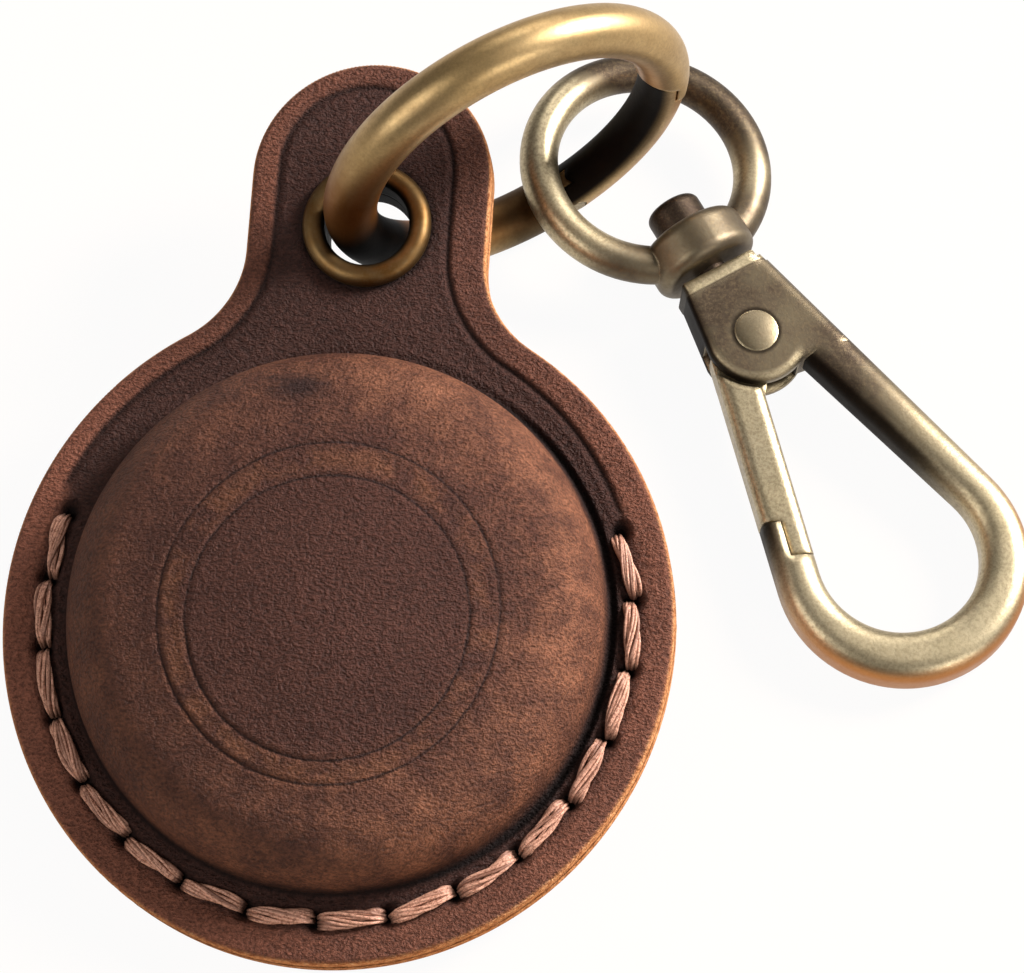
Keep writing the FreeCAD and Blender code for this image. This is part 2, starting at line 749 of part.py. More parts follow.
ring_out_way = polar(1, ring_heading)
ring_axis = ring_out_way.cross(UP)
ring_reach = ring_radius * math.cos(math.radians(ring_drop)) - ring_shift
ring_centre = eyelet_place + ring_out_way * ring_reach - ring_axis * ring_side + UP * eyelet_drop
ring_place = FreeCAD.Placement(ring_centre, FreeCAD.Rotation(ring_out_way, UP, ring_axis, "XYZ"))

bow_contact = bow_offset + bow_radius - bar_rounding
pitch = math.atan2(boss_radius - bar_thickness / 2, bow_contact - boss_thickness / 2)
boss_height = boss_radius * math.cos(pitch) + boss_thickness / 2 * math.sin(pitch)
eye_height = boss_height + boss_offset * math.sin(pitch)
to_eye = polar(math.cos(pitch), hook_heading + 180) + UP * math.sin(pitch)
hook_side = to_eye.cross(UP)
hook_side.normalize()
hook_up = hook_side.cross(to_eye)
hook_turn = FreeCAD.Rotation(hook_side, to_eye, hook_up, "XYZ")

# The eye's wire lies against the inside of the ring, and its turn on the post follows from their heights.
link_radius = ring_radius - ring_wire - eye_wire - link_gap
link_place = ring_place.multVec(polar(link_radius, link_angle))
link_far = eye_radius * math.sin(math.radians(link_turn))
link_wide = eye_radius * math.cos(math.radians(link_turn))
link_rise = link_place.z - eye_height - link_far * to_eye.z
eye_turn = math.asin(link_rise / (link_wide * hook_up.z))
to_link = hook_up * math.sin(eye_turn) - hook_side * math.cos(eye_turn)
eye_centre = link_place - to_link * link_wide - to_eye * link_far
hook_place = FreeCAD.Placement(eye_centre, hook_turn)
eye_place = FreeCAD.Placement(eye_centre, hook_turn * FreeCAD.Rotation(Y, math.degrees(eye_turn)))

pieces = {
    "front_leather": (front_leather(), holder_place),
    "back_leather": (back_leather(), holder_place),
    "seam_thread": (seam_thread(), holder_place),
    "front_eyelet": (eyelet(), holder_place),
    "front_washer": (washer(), holder_place),
    "back_eyelet": (mirrored_down(eyelet()), holder_place),
    "back_washer": (mirrored_down(washer()), holder_place),
    "tag_shell": (tag_shell(), holder_place),
    "tag_cover": (tag_cover(), holder_place),
    "tag_battery": (tag_battery(), holder_place),
    "tag_carrier": (tag_carrier(), holder_place),
    "tag_board": (tag_board(), holder_place),
    "ring_frame": (ring_frame(), ring_place),
    "ring_gate": (ring_gate(), ring_place),
    "ring_pin": (ring_pin(), ring_place),
    "ring_spring": (ring_spring(), ring_place),
    "swivel_eye": (swivel_eye(), eye_place),
    "swivel_post": (swivel_post(), hook_place),
    "hook_body": (hook_body(), hook_place),
    "hook_lever": (hook_lever(), hook_place),
    "lever_rivet": (lever_rivet(), hook_place),
    "lever_spring": (lever_spring(), hook_place),
}


def set_down(shape, place):
    """Shape moved from its own frame to where it lies."""
    moved = shape.copy()
    moved.Placement = place.multiply(shape.Placement)
    return moved


placed = {name: set_down(shape, place) for name, (shape, place) in pieces.items()}
box = FreeCAD.BoundBox()
for shape in placed.values():
    box.add(shape.optimalBoundingBox(False))
to_origin = Vector(-box.Center.x, -box.Center.y, -box.ZMin)

os.makedirs("parts", exist_ok=True)
for name, shape in placed.items():
    shape.translate(to_origin)
    shape.exportStep(os.path.join("parts", name + ".step"))
    print(name, len(shape.Solids), shape.isValid(), round(shape.Volume, 2))
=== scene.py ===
"""Looks of the leather tracker tag holder, its gate ring and its snap hook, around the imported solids.

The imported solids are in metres. Sizes here are in millimetres, as in the part's own drawing, and the
leather and the thread are drawn in the holder's frame: origin at the eyelets, where the two panels meet,
+Y to the top of the neck and +Z out of the front face. The floor and the lamps are placed in metres.
"""

import json
import math

import bpy
from mathutils import Matrix, Vector, geometry, noise


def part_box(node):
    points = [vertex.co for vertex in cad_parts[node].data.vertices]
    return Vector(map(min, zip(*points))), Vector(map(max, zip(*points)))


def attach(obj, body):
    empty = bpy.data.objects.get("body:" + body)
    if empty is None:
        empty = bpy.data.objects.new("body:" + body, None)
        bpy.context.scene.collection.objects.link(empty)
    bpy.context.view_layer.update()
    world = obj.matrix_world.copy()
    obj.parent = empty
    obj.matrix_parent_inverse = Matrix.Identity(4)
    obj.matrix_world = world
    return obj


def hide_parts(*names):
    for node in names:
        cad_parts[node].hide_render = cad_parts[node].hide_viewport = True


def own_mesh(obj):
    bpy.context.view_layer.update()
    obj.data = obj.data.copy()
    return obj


MM = 0.001

# Leather panels
leather = 1.6
disc_radius = 21.6
eyelet_offset = 26.3       # disc centre to eyelet centre
neck_half = 7.9
neck_rise = 11.3           # eyelet centre to the top of the neck
shoulder_radius = 7.0
edge_rounding = 0.5
eyelet_hole = 3.2
moulding_stretch = 0.024   # how much longer the leather came out below the dome's middle
flat_wave = 0.05           # unevenness of the flat leather
dome_wave = 0.06

# Dome on the front, dish on the back, and the pocket between them
dome_radius = 17.2
dome_top = 8.45
dome_shoulder = 4.9
dome_crown = 60.2
back_top = 2.85
back_shoulder = 1.6
back_crown = 400.0
foot_reach = 0.85          # how far the foot of the dome runs out
foot_valley = 0.08         # how deep the leather is pressed in at the foot of the dome
foot_valley_right = 0.4    # the same on its right, where it was moulded harder
foot_valley_off = 0.3      # foot of the dome to the middle of that valley
foot_valley_width = 0.3
harder_side = Vector((0.995, -0.1))
pocket_radius = 16.0
pocket_top = 6.85
pocket_shoulder = 3.3
back_pocket_top = 1.25
back_pocket_shoulder = 0.6
pocket_fall = 0.4          # how much lower the pocket is at its shoulder than in its middle
pocket_half_fall = 0.12    # the same half way out

# Lines pressed into the leather
crease_inset = 2.15
crease_shift = (-0.35, 0.45)   # the crease runs a little off the edge's own line
crease_width = 0.2
crease_depth = 0.2
plate_sink = 0.1           # the neck inside the crease lies lower than its rim
ridge_off = 0.55           # crease to the ridge beside it
ridge_width = 0.17
ridge_height = 0.05
pressed_rings = ((0.3, -0.75, 10.75), (0.3, -1.15, 8.9))   # offset from the dome's middle, and radius
pressed_width = 0.11
pressed_depth = 0.1
pressed_lip = 0.36         # pressed ring to the lip beside it
pressed_lip_width = 0.2
pressed_lip_height = 0.03
flange_middle = 3.6        # eyelet's centre to the middle of the flange that presses on the leather
flange_spread = 0.8
flange_press = 0.12
flange_edge = 4.2

# Marks rubbed into the leather, from the dome's middle and from the eyelet
band_middle = (0.3, -0.95, 0)
band_radius = 9.9
band_half = 1.5
smudge_middle = (-3.0, -12.5, 0)
smudge_squeeze = (0.42, 0.8, 0)

# Rows of points over the leather
skin_step = 0.26           # distance between points along a row
coarse_inset = 3.7         # inset from which that is wider
coarse_share = 1.4
rim_insets = [0.0, 0.04, 0.1, 0.18, 0.28, 0.4, 0.55, 0.75, 1.0, 1.2] + [1.3 + 0.1 * i for i in range(23)] + [
    3.65, 3.85, 4.1, 4.4, 4.75, 5.2, 5.7, 6.2, 6.7, 7.2]
eyelet_rows = [3.2, 3.35, 3.6, 3.9, 4.2, 4.5, 4.8]
dome_row = 0.3
fine_dome_row = 0.12
fine_dome = (7.4, 12.0)    # radii between which the dome's rows are that fine
shoulder_rows = 22
foot_rows = 9
edge_rows = ((0.72, 0.0), (0.4, 0.03), (0.14, 0.05))   # share of the raw edge's height, and how far in
edge_fray = 0.05

# Seam
stitches = 16
seam_radius = 18.9
seam_left = -199.0         # heading of the first hole, anticlockwise from the right of the dome
seam_right = 20.3          # heading of the last hole
stitch_gap = 0.9           # bare leather between two stitches, over a hole
hole_width = 0.56
hole_depth = 0.9
hole_lip = 0.95            # middle of a hole to its raised lip
hole_lip_width = 0.3
hole_lip_height = 0.07
dent_width = 0.75          # bed that the thread pressed into the leather
dent_depth = 0.24
thread_width = 1.18
thread_height = 0.6
strands = 15
strand_radius = 0.1
strand_twist = 0.42        # turns that the strands make along a stitch
strand_end_share = 0.72    # width of the strands at a stitch's ends, as a share of that in its middle
strand_flat_share = 0.42   # height of the strands together, as a share of their width
strand_points = 18
strand_sides = 8
stitch_slant = 5.0         # degrees that a stitch lies off the seam
stitch_bed = 0.12          # how deep a stitch lies in the leather
stitch_dive = 0.85         # how deep its ends go into the holes
thread_seed = 4

# Lever's spring
coil_turns = 2.0
coil_radius = 0.5
coil_wire = 0.18
coil_points = 24           # in each turn
coil_sides = 12

# Leather's tones as they look on a screen, 0 to 255: pairs that it clouds between, then single ones
plate_tones = ((46, 27, 22), (63, 38, 31))
lip_tones = ((86, 51, 39), (114, 70, 53))
crown_tones = ((56, 32, 25), (72, 43, 34))
warm_tones = ((88, 53, 38), (132, 85, 62))
# Painted light: the disc's left rim lightened, on the side away from the key lamp
painted_light_rim = (128, 78, 60)
rubbed_band = (122, 77, 50)
wax_smudge = (30, 18, 18)
# Pressed lines on the dome: the leather darkened where it was pressed, and painted shade in their grooves
pressed_line_and_shade = (28, 16, 14)
dust_speck = (196, 150, 118)
# Painted shade: the near-black that creases, stitch holes, the dome's foot, the flange's edge and the low raw
# edge are darkened towards
deep_shade = (15, 9, 8)
raw_edge = ((0.30, (104, 60, 34)), (0.45, (170, 108, 64)), (0.60, (212, 156, 108)), (0.80, (232, 190, 146)))
raw_edge_shade = (48, 26, 16)

# Thread's tones
thread_tones = ((132, 82, 60), (210, 156, 130))
dark_strand = (100, 60, 43)
# Painted shade at the stitches' ends, where they dive into the holes
thread_end_shade = (52, 30, 22)

# Brass: two tones of the rubbed metal, then two of the film on it
silvery = ((178, 160, 124), (206, 190, 158), (48, 39, 33), (86, 73, 60))
golden = ((184, 148, 92), (222, 193, 144), (68, 43, 19), (114, 79, 40))
smoky = ((120, 106, 88), (150, 136, 114), (40, 32, 28), (68, 56, 47))
rubbed_grain = (116, 98, 70)
film_grain = (124, 106, 80)
# Painted warm light: reflection of the leather and warm bounce on the brass
painted_warm_light = (180, 112, 50)
# Painted shade, with grime by the ring's hinge
shade_and_grime_tone = (20, 15, 12)

# Studio, with the camera from the floor under the eyelets
floor_tone = (226, 190, 148)   # what the floor casts back on the object
floor_white = 0.95         # share of plain white in what the camera and the metal see of it
floor_reach = 3.0
sky_strength = 0.14
lamps_aim = Vector((0, 0, 0.005))
look_at = Vector((9.34, -16.29, 5.0))
camera_distance = 250.0
camera_elevation = 66.83
lens_share = 3.748         # focal length as a share of the picture's width
sensor = 36.0


def linear(red, green, blue):
    """Colour as it looks on a screen, 0 to 255, as a shader takes it."""
    parts = []
    for part in (red, green, blue):
        share = part / 255
        parts.append(share / 12.92 if share <= 0.04045 else ((share + 0.055) / 1.055) ** 2.4)
    return (*parts, 1.0)


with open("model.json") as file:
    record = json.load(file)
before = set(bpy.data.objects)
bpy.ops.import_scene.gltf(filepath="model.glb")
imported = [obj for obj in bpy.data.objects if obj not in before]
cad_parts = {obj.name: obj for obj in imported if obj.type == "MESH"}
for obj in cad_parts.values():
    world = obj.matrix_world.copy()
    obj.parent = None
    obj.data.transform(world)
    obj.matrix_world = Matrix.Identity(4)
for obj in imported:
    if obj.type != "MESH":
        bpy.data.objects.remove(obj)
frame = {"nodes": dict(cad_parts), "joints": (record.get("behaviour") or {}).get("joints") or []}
nodes = frame["nodes"]
joints = {joint["name"]: joint for joint in frame["joints"]}
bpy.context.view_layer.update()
scene = bpy.context.scene


def middle_of(name):
    low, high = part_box(name)
    return (low + high) / 2


# The holder's frame, from the swing's axis and the tag that hangs below the eyelets
eyelet = Vector(joints["ring_swing"]["pos_m"])
face_out = Vector(joints["ring_swing"]["axis"]).normalized()
up_neck = eyelet - middle_of("tag_battery")
up_neck = (up_neck - face_out * up_neck.dot(face_out)).normalized()
across = up_neck.cross(face_out)
holder_turn = Matrix((across, up_neck, face_out)).transposed().to_4x4()
holder = Matrix.Translation(eyelet) @ holder_turn @ Matrix.Scale(MM, 4)


class Value:
    """A node's socket that takes arithmetic: each step adds a Math node."""

    def __init__(self, builder, socket):
        self.builder = builder
        self.socket = socket

    def other(self, out):
        """Another output of the same node."""
        return Value(self.builder, self.socket.node.outputs[out])

    def __add__(self, other):
        return self.builder.maths("ADD", self, other)

    def __radd__(self, other):
        return self.builder.maths("ADD", other, self)

    def __sub__(self, other):
        return self.builder.maths("SUBTRACT", self, other)

    def __rsub__(self, other):
        return self.builder.maths("SUBTRACT", other, self)

    def __mul__(self, other):
        return self.builder.maths("MULTIPLY", self, other)

    def __rmul__(self, other):
        return self.builder.maths("MULTIPLY", other, self)

    def __truediv__(self, other):
        return self.builder.maths("DIVIDE", self, other)

    def __rtruediv__(self, other):
        return self.builder.maths("DIVIDE", other, self)

    def __pow__(self, other):
        return self.builder.maths("POWER", self, other)

    def __abs__(self):
        return self.builder.maths("ABSOLUTE", self)


class Builder:
    """Adds nodes to a tree of shader or geometry nodes."""

    def __init__(self, tree):
        self.tree = tree

    def node(self, kind, settings=None, inputs=None, out=0):
        """A node of a kind, with its settings, then its sockets' values or links. Gives one output."""
        made = self.tree.nodes.new(kind)
        for name, setting in (settings or {}).items():
            if name == "stops":
                ramp = made.color_ramp.elements
                while len(ramp) < len(setting):
                    ramp.new(1.0)
                for stop, (place, colour) in zip(ramp, setting):
                    stop.position = place
                    stop.color = colour
            else:
                setattr(made, name, setting)
        for name, given in (inputs or {}).items():
            if isinstance(given, Value):
                self.tree.links.new(given.socket, made.inputs[name])
            else:
                made.inputs[name].default_value = given
        return Value(self, made.outputs[out]) if len(made.outputs) else None

    def maths(self, operation, first, second=0.0):
        return self.node("ShaderNodeMath", {"operation": operation}, {0: first, 1: second})


class Finish(Builder):
    """A material under construction."""

    def __init__(self, name):
        self.material = bpy.data.materials.new(name)
        self.material.use_nodes = True
        super().__init__(self.material.node_tree)
        self.tree.nodes.clear()

    def step(self, value, low, high):
        """0 below low, 1 above high, smooth between them."""
        inputs = {"Value": value, "From Min": low, "From Max": high}
        return self.node("ShaderNodeMapRange", {"interpolation_type": "SMOOTHSTEP"}, inputs)

    def band(self, value, centre, half):
        """1 at a value and 0 further than half from it."""
        return 1 - self.step(abs(value - centre), 0.0, half)

    def blend(self, share, first, second):
        return self.node("ShaderNodeMix", {"data_type": "RGBA"}, {0: share, 6: first, 7: second}, out=2)

    def tones(self, share, pair):
        """Colour between two tones as they look on a screen."""
        return self.blend(share, linear(*pair[0]), linear(*pair[1]))

    def noise(self, place, scale, detail=2.0, roughness=0.5, distortion=0.0):
        inputs = {"Vector": place, "Scale": scale, "Detail": detail, "Roughness": roughness,
                  "Distortion": distortion}
        return self.node("ShaderNodeTexNoise", {}, inputs)

    def cells(self, place, scale):
        """Distance to the nearest of many scattered points, rounded off."""
        inputs = {"Vector": place, "Scale": scale, "Smoothness": 0.6}
        return self.node("ShaderNodeTexVoronoi", {"feature": "SMOOTH_F1"}, inputs)

    def place(self):
        """Point on the surface in millimetres, in the object's own frame."""
        return self.vector("SCALE", self.node("ShaderNodeTexCoord", out="Object"), Scale=1 / MM)

    def normal(self):
        return self.node("ShaderNodeTexCoord", out="Normal")

    def attribute(self, name, out=2):
        """What a mesh says of its points: a number, or a vector from output 1."""
        return self.node("ShaderNodeAttribute", {"attribute_name": name}, out=out)

    def vector(self, operation, first, second=None, Scale=None, out="Vector"):
        inputs = {0: first}
        if second is not None:
            inputs[1] = second
        if Scale is not None:
            inputs["Scale"] = Scale
        return self.node("ShaderNodeVectorMath", {"operation": operation}, inputs, out)

    def dot(self, first, second):
        return self.vector("DOT_PRODUCT", first, second, out="Value")

    def length(self, first):
        return self.vector("LENGTH", first, out="Value")

    def off(self, at, point):
        """Vector from a point to a place on the surface."""
        return self.vector("SUBTRACT", at, point)

    def beside(self, off, axis):
        """A vector without its part along an axis."""
        return self.off(off, self.vector("SCALE", axis, Scale=self.dot(off, axis)))

    def bump(self, height, strength, distance, **normal):
        inputs = {"Height": height, "Strength": strength, "Distance": distance * MM, **normal}
        return self.node("ShaderNodeBump", {}, inputs)

    def surface(self, shader):
        self.node("ShaderNodeOutputMaterial", {}, {"Surface": shader})
        return self.material

    def done(self, **inputs):
        """Principled shader with its sockets set by name, spaces written as underscores."""
        named = {name.replace("_", " "): given for name, given in inputs.items()}
        return self.surface(self.node("ShaderNodeBsdfPrincipled", {}, named))


def crown_colour(f, at, off, clouds, patches, right):
    """Dome's colour: dark middle, warm shoulder, rubbed band between the pressed rings, and a waxy smudge."""
    # Warmer towards the right, the side the key lamp lights: partly the leather's worn pull-up colour, partly
    # painted light
    shoulder = f.step(f.length(off) + patches * 2.2, 9.6, 16.6) * (0.45 + right * 0.55)
    warmth = shoulder * f.step(clouds * 0.5 + patches * 0.6, 0.25, 0.8)
    colour = f.blend(warmth, f.tones(clouds, crown_tones), f.tones(patches, warm_tones))
    near_band = f.band(f.length(f.off(off, band_middle)), band_radius, band_half)
    rubbed = near_band * f.step(patches + clouds * 0.3, 0.5, 0.78)
    colour = f.blend(rubbed * 0.32, colour, linear(*rubbed_band))
    near_smudge = f.length(f.vector("MULTIPLY", f.off(at, smudge_middle), smudge_squeeze))
    streaks = f.noise(f.vector("MULTIPLY", at, (0.35, 1.5, 0)), 1.1, 3.0, 0.6)
    smudge = 1 - f.step(near_smudge + streaks * 1.1, 0.75, 1.75)
    return f.blend(smudge * 0.85, colour, linear(*wax_smudge))


def waxed_leather():
    """Dark waxed leather: purple-brown plate, warm on the rim and the dome's shoulder, raw tan edges."""
    f = Finish("waxed_leather")
    at = f.attribute("panel", out=1)
    deep = f.attribute("deep")
    raw = f.attribute("raw")
    rim = f.attribute("rim")
    off = f.vector("MULTIPLY", f.off(at, (0, -eyelet_offset, 0)), (1, 1, 0))
    clouds = f.noise(at, 0.13, 3.0, 0.6, 0.5)
    patches = f.noise(at, 0.55, 4.0, 0.62, 0.3)
    grain = f.noise(f.vector("MULTIPLY", at, (0.8, 1.25, 1)), 3.7, 3.0, 0.6, 0.2)
    pebble = f.noise(f.vector("ADD", at, (5.3, 1.7, 2.9)), 6.2, 2.0, 0.55)
    dust = f.noise(at, 9.0, 2.0, 0.6)

    reach = f.node("ShaderNodeSeparateXYZ", {}, {0: at})
    right = f.step(reach, -12.0, 8.0)
    on_neck = f.step(reach.other("Y"), -16.0, -6.0)
    lip = rim * (0.35 + clouds) * (1 - right * on_neck * 0.55)
    colour = f.blend(lip, f.tones(clouds, plate_tones), f.tones(patches, lip_tones))
    # Painted light: the disc's left rim lightened, on the side away from the key lamp
    colour = f.blend(rim * (1 - right) * (1 - on_neck) * 0.4, colour, linear(*painted_light_rim))
    on_dome = 1 - f.step(f.length(off), dome_radius - 0.1, dome_radius + 0.25)
    colour = f.blend(on_dome, colour, crown_colour(f, at, off, clouds, patches, right))
    uneven = f.step(patches + clouds * 0.5, 0.35, 0.75)
    # Pressed lines: the leather darkened where it was pressed, and painted shade in their grooves
    for x, y, ring in pressed_rings:
        away = f.length(f.off(off, (x, y, 0)))
        line = f.band(away + (patches - 0.5) * 0.25, ring, 0.15) * uneven
        colour = f.blend(line * 0.85 * on_dome, colour, linear(*pressed_line_and_shade))
    skin = f.step(grain * 0.65 + pebble * 0.45, 0.36, 0.76)
    colour = f.vector("SCALE", colour, Scale=0.58 + skin)
    colour = f.blend(f.step(dust, 0.72, 0.8) * 0.4, colour, linear(*dust_speck))
    # Painted shade in the creases, the stitch holes, at the dome's foot, round the flange and low on the raw
    # edge
    colour = f.blend(deep * 0.92, colour, linear(*deep_shade))
    fibre = f.noise(f.vector("MULTIPLY", at, (1, 1, 3.0)), 2.4, 4.0, 0.68)
    stops = [(place, linear(*tone)) for place, tone in raw_edge]
    edge = f.node("ShaderNodeValToRGB", {"stops": stops}, {"Fac": fibre})
    # Raw edge's tones, with painted shade low on it
    colour = f.blend(raw, colour, f.blend(deep, edge, linear(*raw_edge_shade)))

    bumped = f.bump(grain + pebble * 0.5 + dust * 0.1, 1.0, 0.3)
    rough = 0.5 + grain * 0.16 + deep * 0.25 + raw * 0.25
    return f.done(Base_Color=colour, Roughness=rough, Normal=bumped, Specular_IOR_Level=0.14)


def waxed_thread():
    f = Finish("waxed_thread")
    at = f.attribute("panel", out=1)
    fibres = f.noise(at, 5.0, 3.0, 0.7, 1.2)
    colour = f.tones(f.step(fibres, 0.34, 0.6), thread_tones)
    colour = f.blend(f.step(f.attribute("ply"), 0.5, 1.0) * 0.8, colour, linear(*dark_strand))
    # Painted shade at the stitches' ends, where they dive into the holes
    ends = f.step(abs(f.attribute("along") - 0.5), 0.4, 0.5)
    colour = f.blend(ends * 0.75, colour, linear(*thread_end_shade))
    return f.done(Base_Color=colour, Roughness=0.4 + fibres * 0.25, Normal=f.bump(fibres, 0.6, 0.06),
                  Specular_IOR_Level=0.5)


def aged_brass(name, tarnish, tones=silvery, film_and_shade_at=None, shade_and_grime_at=None, warm_light_at=None,
               rounding=0.25, speckle=0.5, facing=None):
    """Rubbed antique brass under a dark film.

    Tarnish is the film's share. Masks tell where more film or painted shade is, where painted shade and grime
    are, and where painted warm light is. Rounding is the radius that worn edges show, and facing the heading
    that a flat-headed piece shows.
    """
    f = Finish(name)
    at = f.place()
    clouds = f.noise(at, 0.16, 2.0, 0.5, 0.3)
    blotches = f.noise(at, 0.8, 3.0, 0.6)
    grain = f.noise(at, 5.0, 3.0, 0.7)
    dots = f.noise(at, 3.0, 3.0, 0.65)
    hollow = 1 - f.node("ShaderNodeAmbientOcclusion", {"samples": 6, "only_local": True},
                        {"Distance": 1.5 * MM}, out="AO")
    rounded = f.node("ShaderNodeBevel", {"samples": 6}, {"Radius": rounding * MM})
    sharp = 1 - f.dot(f.node("ShaderNodeNewGeometry", out="Normal"), rounded)
    if facing:
        there = f.node("ShaderNodeVectorTransform", {"vector_type": "NORMAL", "convert_from": "OBJECT"},
                       {0: facing})
        rounded = f.vector("NORMALIZE", f.vector("ADD", rounded, f.vector("SCALE", there, Scale=2.2)))

    film = tarnish + (clouds - 0.5) * 0.7 + (blotches - 0.5) * 0.5 + f.step(hollow, 0.15, 0.65)
    # For some pieces this mask adds painted shade as well as film
    if film_and_shade_at:
        film = film + film_and_shade_at(f, at)
    film = film - f.step(sharp, 0.04, 0.25) * (1 - f.step(hollow, 0.3, 0.7)) * 0.6
    film = f.maths("MINIMUM", f.maths("MAXIMUM", film, 0.0), 1.0)
    film = film + f.step(dots, 0.45, 0.8) * speckle * (0.9 - film)
    rubbed = f.tones(clouds, tones[:2])
    rubbed = f.blend(f.step(grain, 0.4, 0.64) * speckle, rubbed, linear(*rubbed_grain))
    tarnished = f.tones(blotches, tones[2:])
    tarnished = f.blend(f.step(grain, 0.4, 0.75) * speckle, tarnished, linear(*film_grain))
    colour = f.blend(film, rubbed, tarnished)
    rough = 0.3 + blotches * 0.12 + film * 0.1 + grain * 0.06
    # Painted warm light: reflection and bounce on the brass where the mask says
    if warm_light_at:
        colour = f.blend(warm_light_at(f, at), colour, linear(*painted_warm_light))
    # Painted shade, with grime by the ring's hinge, darkens the brass where the mask says
    if shade_and_grime_at:
        shade_and_grime = shade_and_grime_at(f, at)
        colour = f.blend(shade_and_grime, colour, linear(*shade_and_grime_tone))
        rough = rough + shade_and_grime * 0.2
    bumped = f.bump(grain + dots * 0.7, 0.25, 0.03, Normal=rounded)
    return f.done(Base_Color=colour, Metallic=1.0, Roughness=rough, Normal=bumped)


def plain_plastic():
    f = Finish("white_plastic")
    at = f.place()
    colour = f.tones(f.noise(at, 0.8, 3.0), ((226, 226, 224), (242, 242, 240)))
    fine = f.noise(at, 12.0, 2.0)
    return f.done(Base_Color=colour, Roughness=0.32 + fine * 0.1, Normal=f.bump(fine, 0.1, 0.02))


def brushed_steel():
    f = Finish("brushed_steel")
    lines = f.noise(f.vector("MULTIPLY", f.place(), (14, 0.4, 0.4)), 1.0, 3.0, 0.6)
    colour = f.tones(lines, ((176, 177, 180), (206, 207, 210)))
    return f.done(Base_Color=colour, Metallic=1.0, Roughness=0.24 + lines * 0.16,
                  Normal=f.bump(lines, 0.1, 0.01))


def circuit_board():
    f = Finish("circuit_board")
    at = f.place()
    pads = f.step(f.cells(at, 0.9), 0.32, 0.26)
    colour = f.tones(f.noise(at, 0.4, 2.0), ((24, 70, 44), (36, 92, 58)))
    colour = f.blend(pads * 0.7, colour, linear(198, 162, 92))
    return f.done(Base_Color=colour, Roughness=0.4 + pads * 0.1, Normal=f.bump(pads, 0.2, 0.03))


def spring_wire():
    f = Finish("spring_wire")
    marks = f.noise(f.place(), 5.0, 3.0)
    colour = f.tones(marks, ((118, 112, 104), (164, 160, 152)))
    return f.done(Base_Color=colour, Metallic=1.0, Roughness=0.26 + marks * 0.14,
                  Normal=f.bump(marks, 0.1, 0.01))


def on_arc(centre, radius, first, last, spacing):
    """Points along an arc between two angles, the last one left to what follows."""
    span = math.radians(last - first)
    count = max(2, math.ceil(abs(span) * radius / spacing))
    turns = [math.radians(first) + span * i / count for i in range(count)]
    return [Vector((centre[0] + radius * math.cos(a), centre[1] + radius * math.sin(a))) for a in turns]


def on_line(start, end, spacing):
    start, end = Vector(start), Vector(end)
    count = max(1, math.ceil((end - start).length / spacing))
    return [start.lerp(end, i / count) for i in range(count)]


def keyhole(inset, spacing):
    """The panel's outline drawn in by an inset, anticlockwise."""
    disc = disc_radius - inset
    half = neck_half - inset
    hollow = shoulder_radius + inset
    side = half + hollow
    reach = math.sqrt((disc + hollow) ** 2 - side ** 2)
    hollow_y = reach - eyelet_offset
    neck_y = neck_rise - neck_half
    turn = math.degrees(math.atan2(reach, side))
    points = on_arc((side, hollow_y), hollow, 180 + turn, 180, spacing)
    points += on_line((half, hollow_y), (half, neck_y), spacing)
    points += on_arc((0, neck_y), half, 0, 180, spacing)
    points += on_line((-half, neck_y), (-half, hollow_y), spacing)
    points += on_arc((-side, hollow_y), hollow, 0, -turn, spacing)
    points += on_arc((0, -eyelet_offset), disc, 180 - turn, 360 + turn, spacing)
    return points


def stretched(mesh):
    """The mesh drawn out below the dome's middle, and set in its place on the floor."""
    for vertex in mesh.vertices:
        vertex.co.y += min(0.0, vertex.co.y + eyelet_offset) * moulding_stretch
    mesh.transform(holder)
    mesh.shade_smooth()


def smooth(value, low, high):
    share = min(1.0, max(0.0, (value - low) / (high - low)))
    return share * share * (3 - 2 * share)


def bell(value, width):
    return math.exp(-(value / width) ** 2)


hole_step = (seam_right - seam_left) / stitches
disc_centre = Vector((0, -eyelet_offset))


def inset_of(x, y):
    """How far inside the outline a point is."""
    x = abs(x)
    side = neck_half + shoulder_radius
    reach = math.sqrt((disc_radius + shoulder_radius) ** 2 - side ** 2)
    off_x, off_y = x - side, y - reach + eyelet_offset
    neck_y = neck_rise - neck_half
    if off_y >= 0:
        return neck_half - (x if y < neck_y else math.hypot(x, y - neck_y))
    if off_x < 0 and math.atan2(-off_y, -off_x) < math.atan2(reach, side):
        return math.hypot(off_x, off_y) - shoulder_radius
    return disc_radius - math.hypot(x, y + eyelet_offset)


def seam_press(point):
    """How far a point is pressed in by the seam, and how much of that is a hole, where shade is painted."""
    from_disc = point - disc_centre
    off = from_disc.length - seam_radius
    if abs(off) > 3 * thread_width:
        return 0.0, 0.0
    angle = math.degrees(math.atan2(from_disc.y, from_disc.x))
    turn = (angle - seam_left + 90) % 360 - 90
    nearest = min(stitches, max(0, round(turn / hole_step)))
    along = math.radians(turn - nearest * hole_step) * seam_radius
    hole = bell(math.hypot(along, off), hole_width)
    lip = bell(math.hypot(along, off) - hole_lip, hole_lip_width)
    end = stitches * hole_step
    dent = bell(off, dent_width) * smooth(turn, -0.5, 1.5) * (1 - smooth(turn, end - 1.5, end + 0.5))
    return dent_depth * dent + hole_depth * hole - hole_lip_height * lip, hole


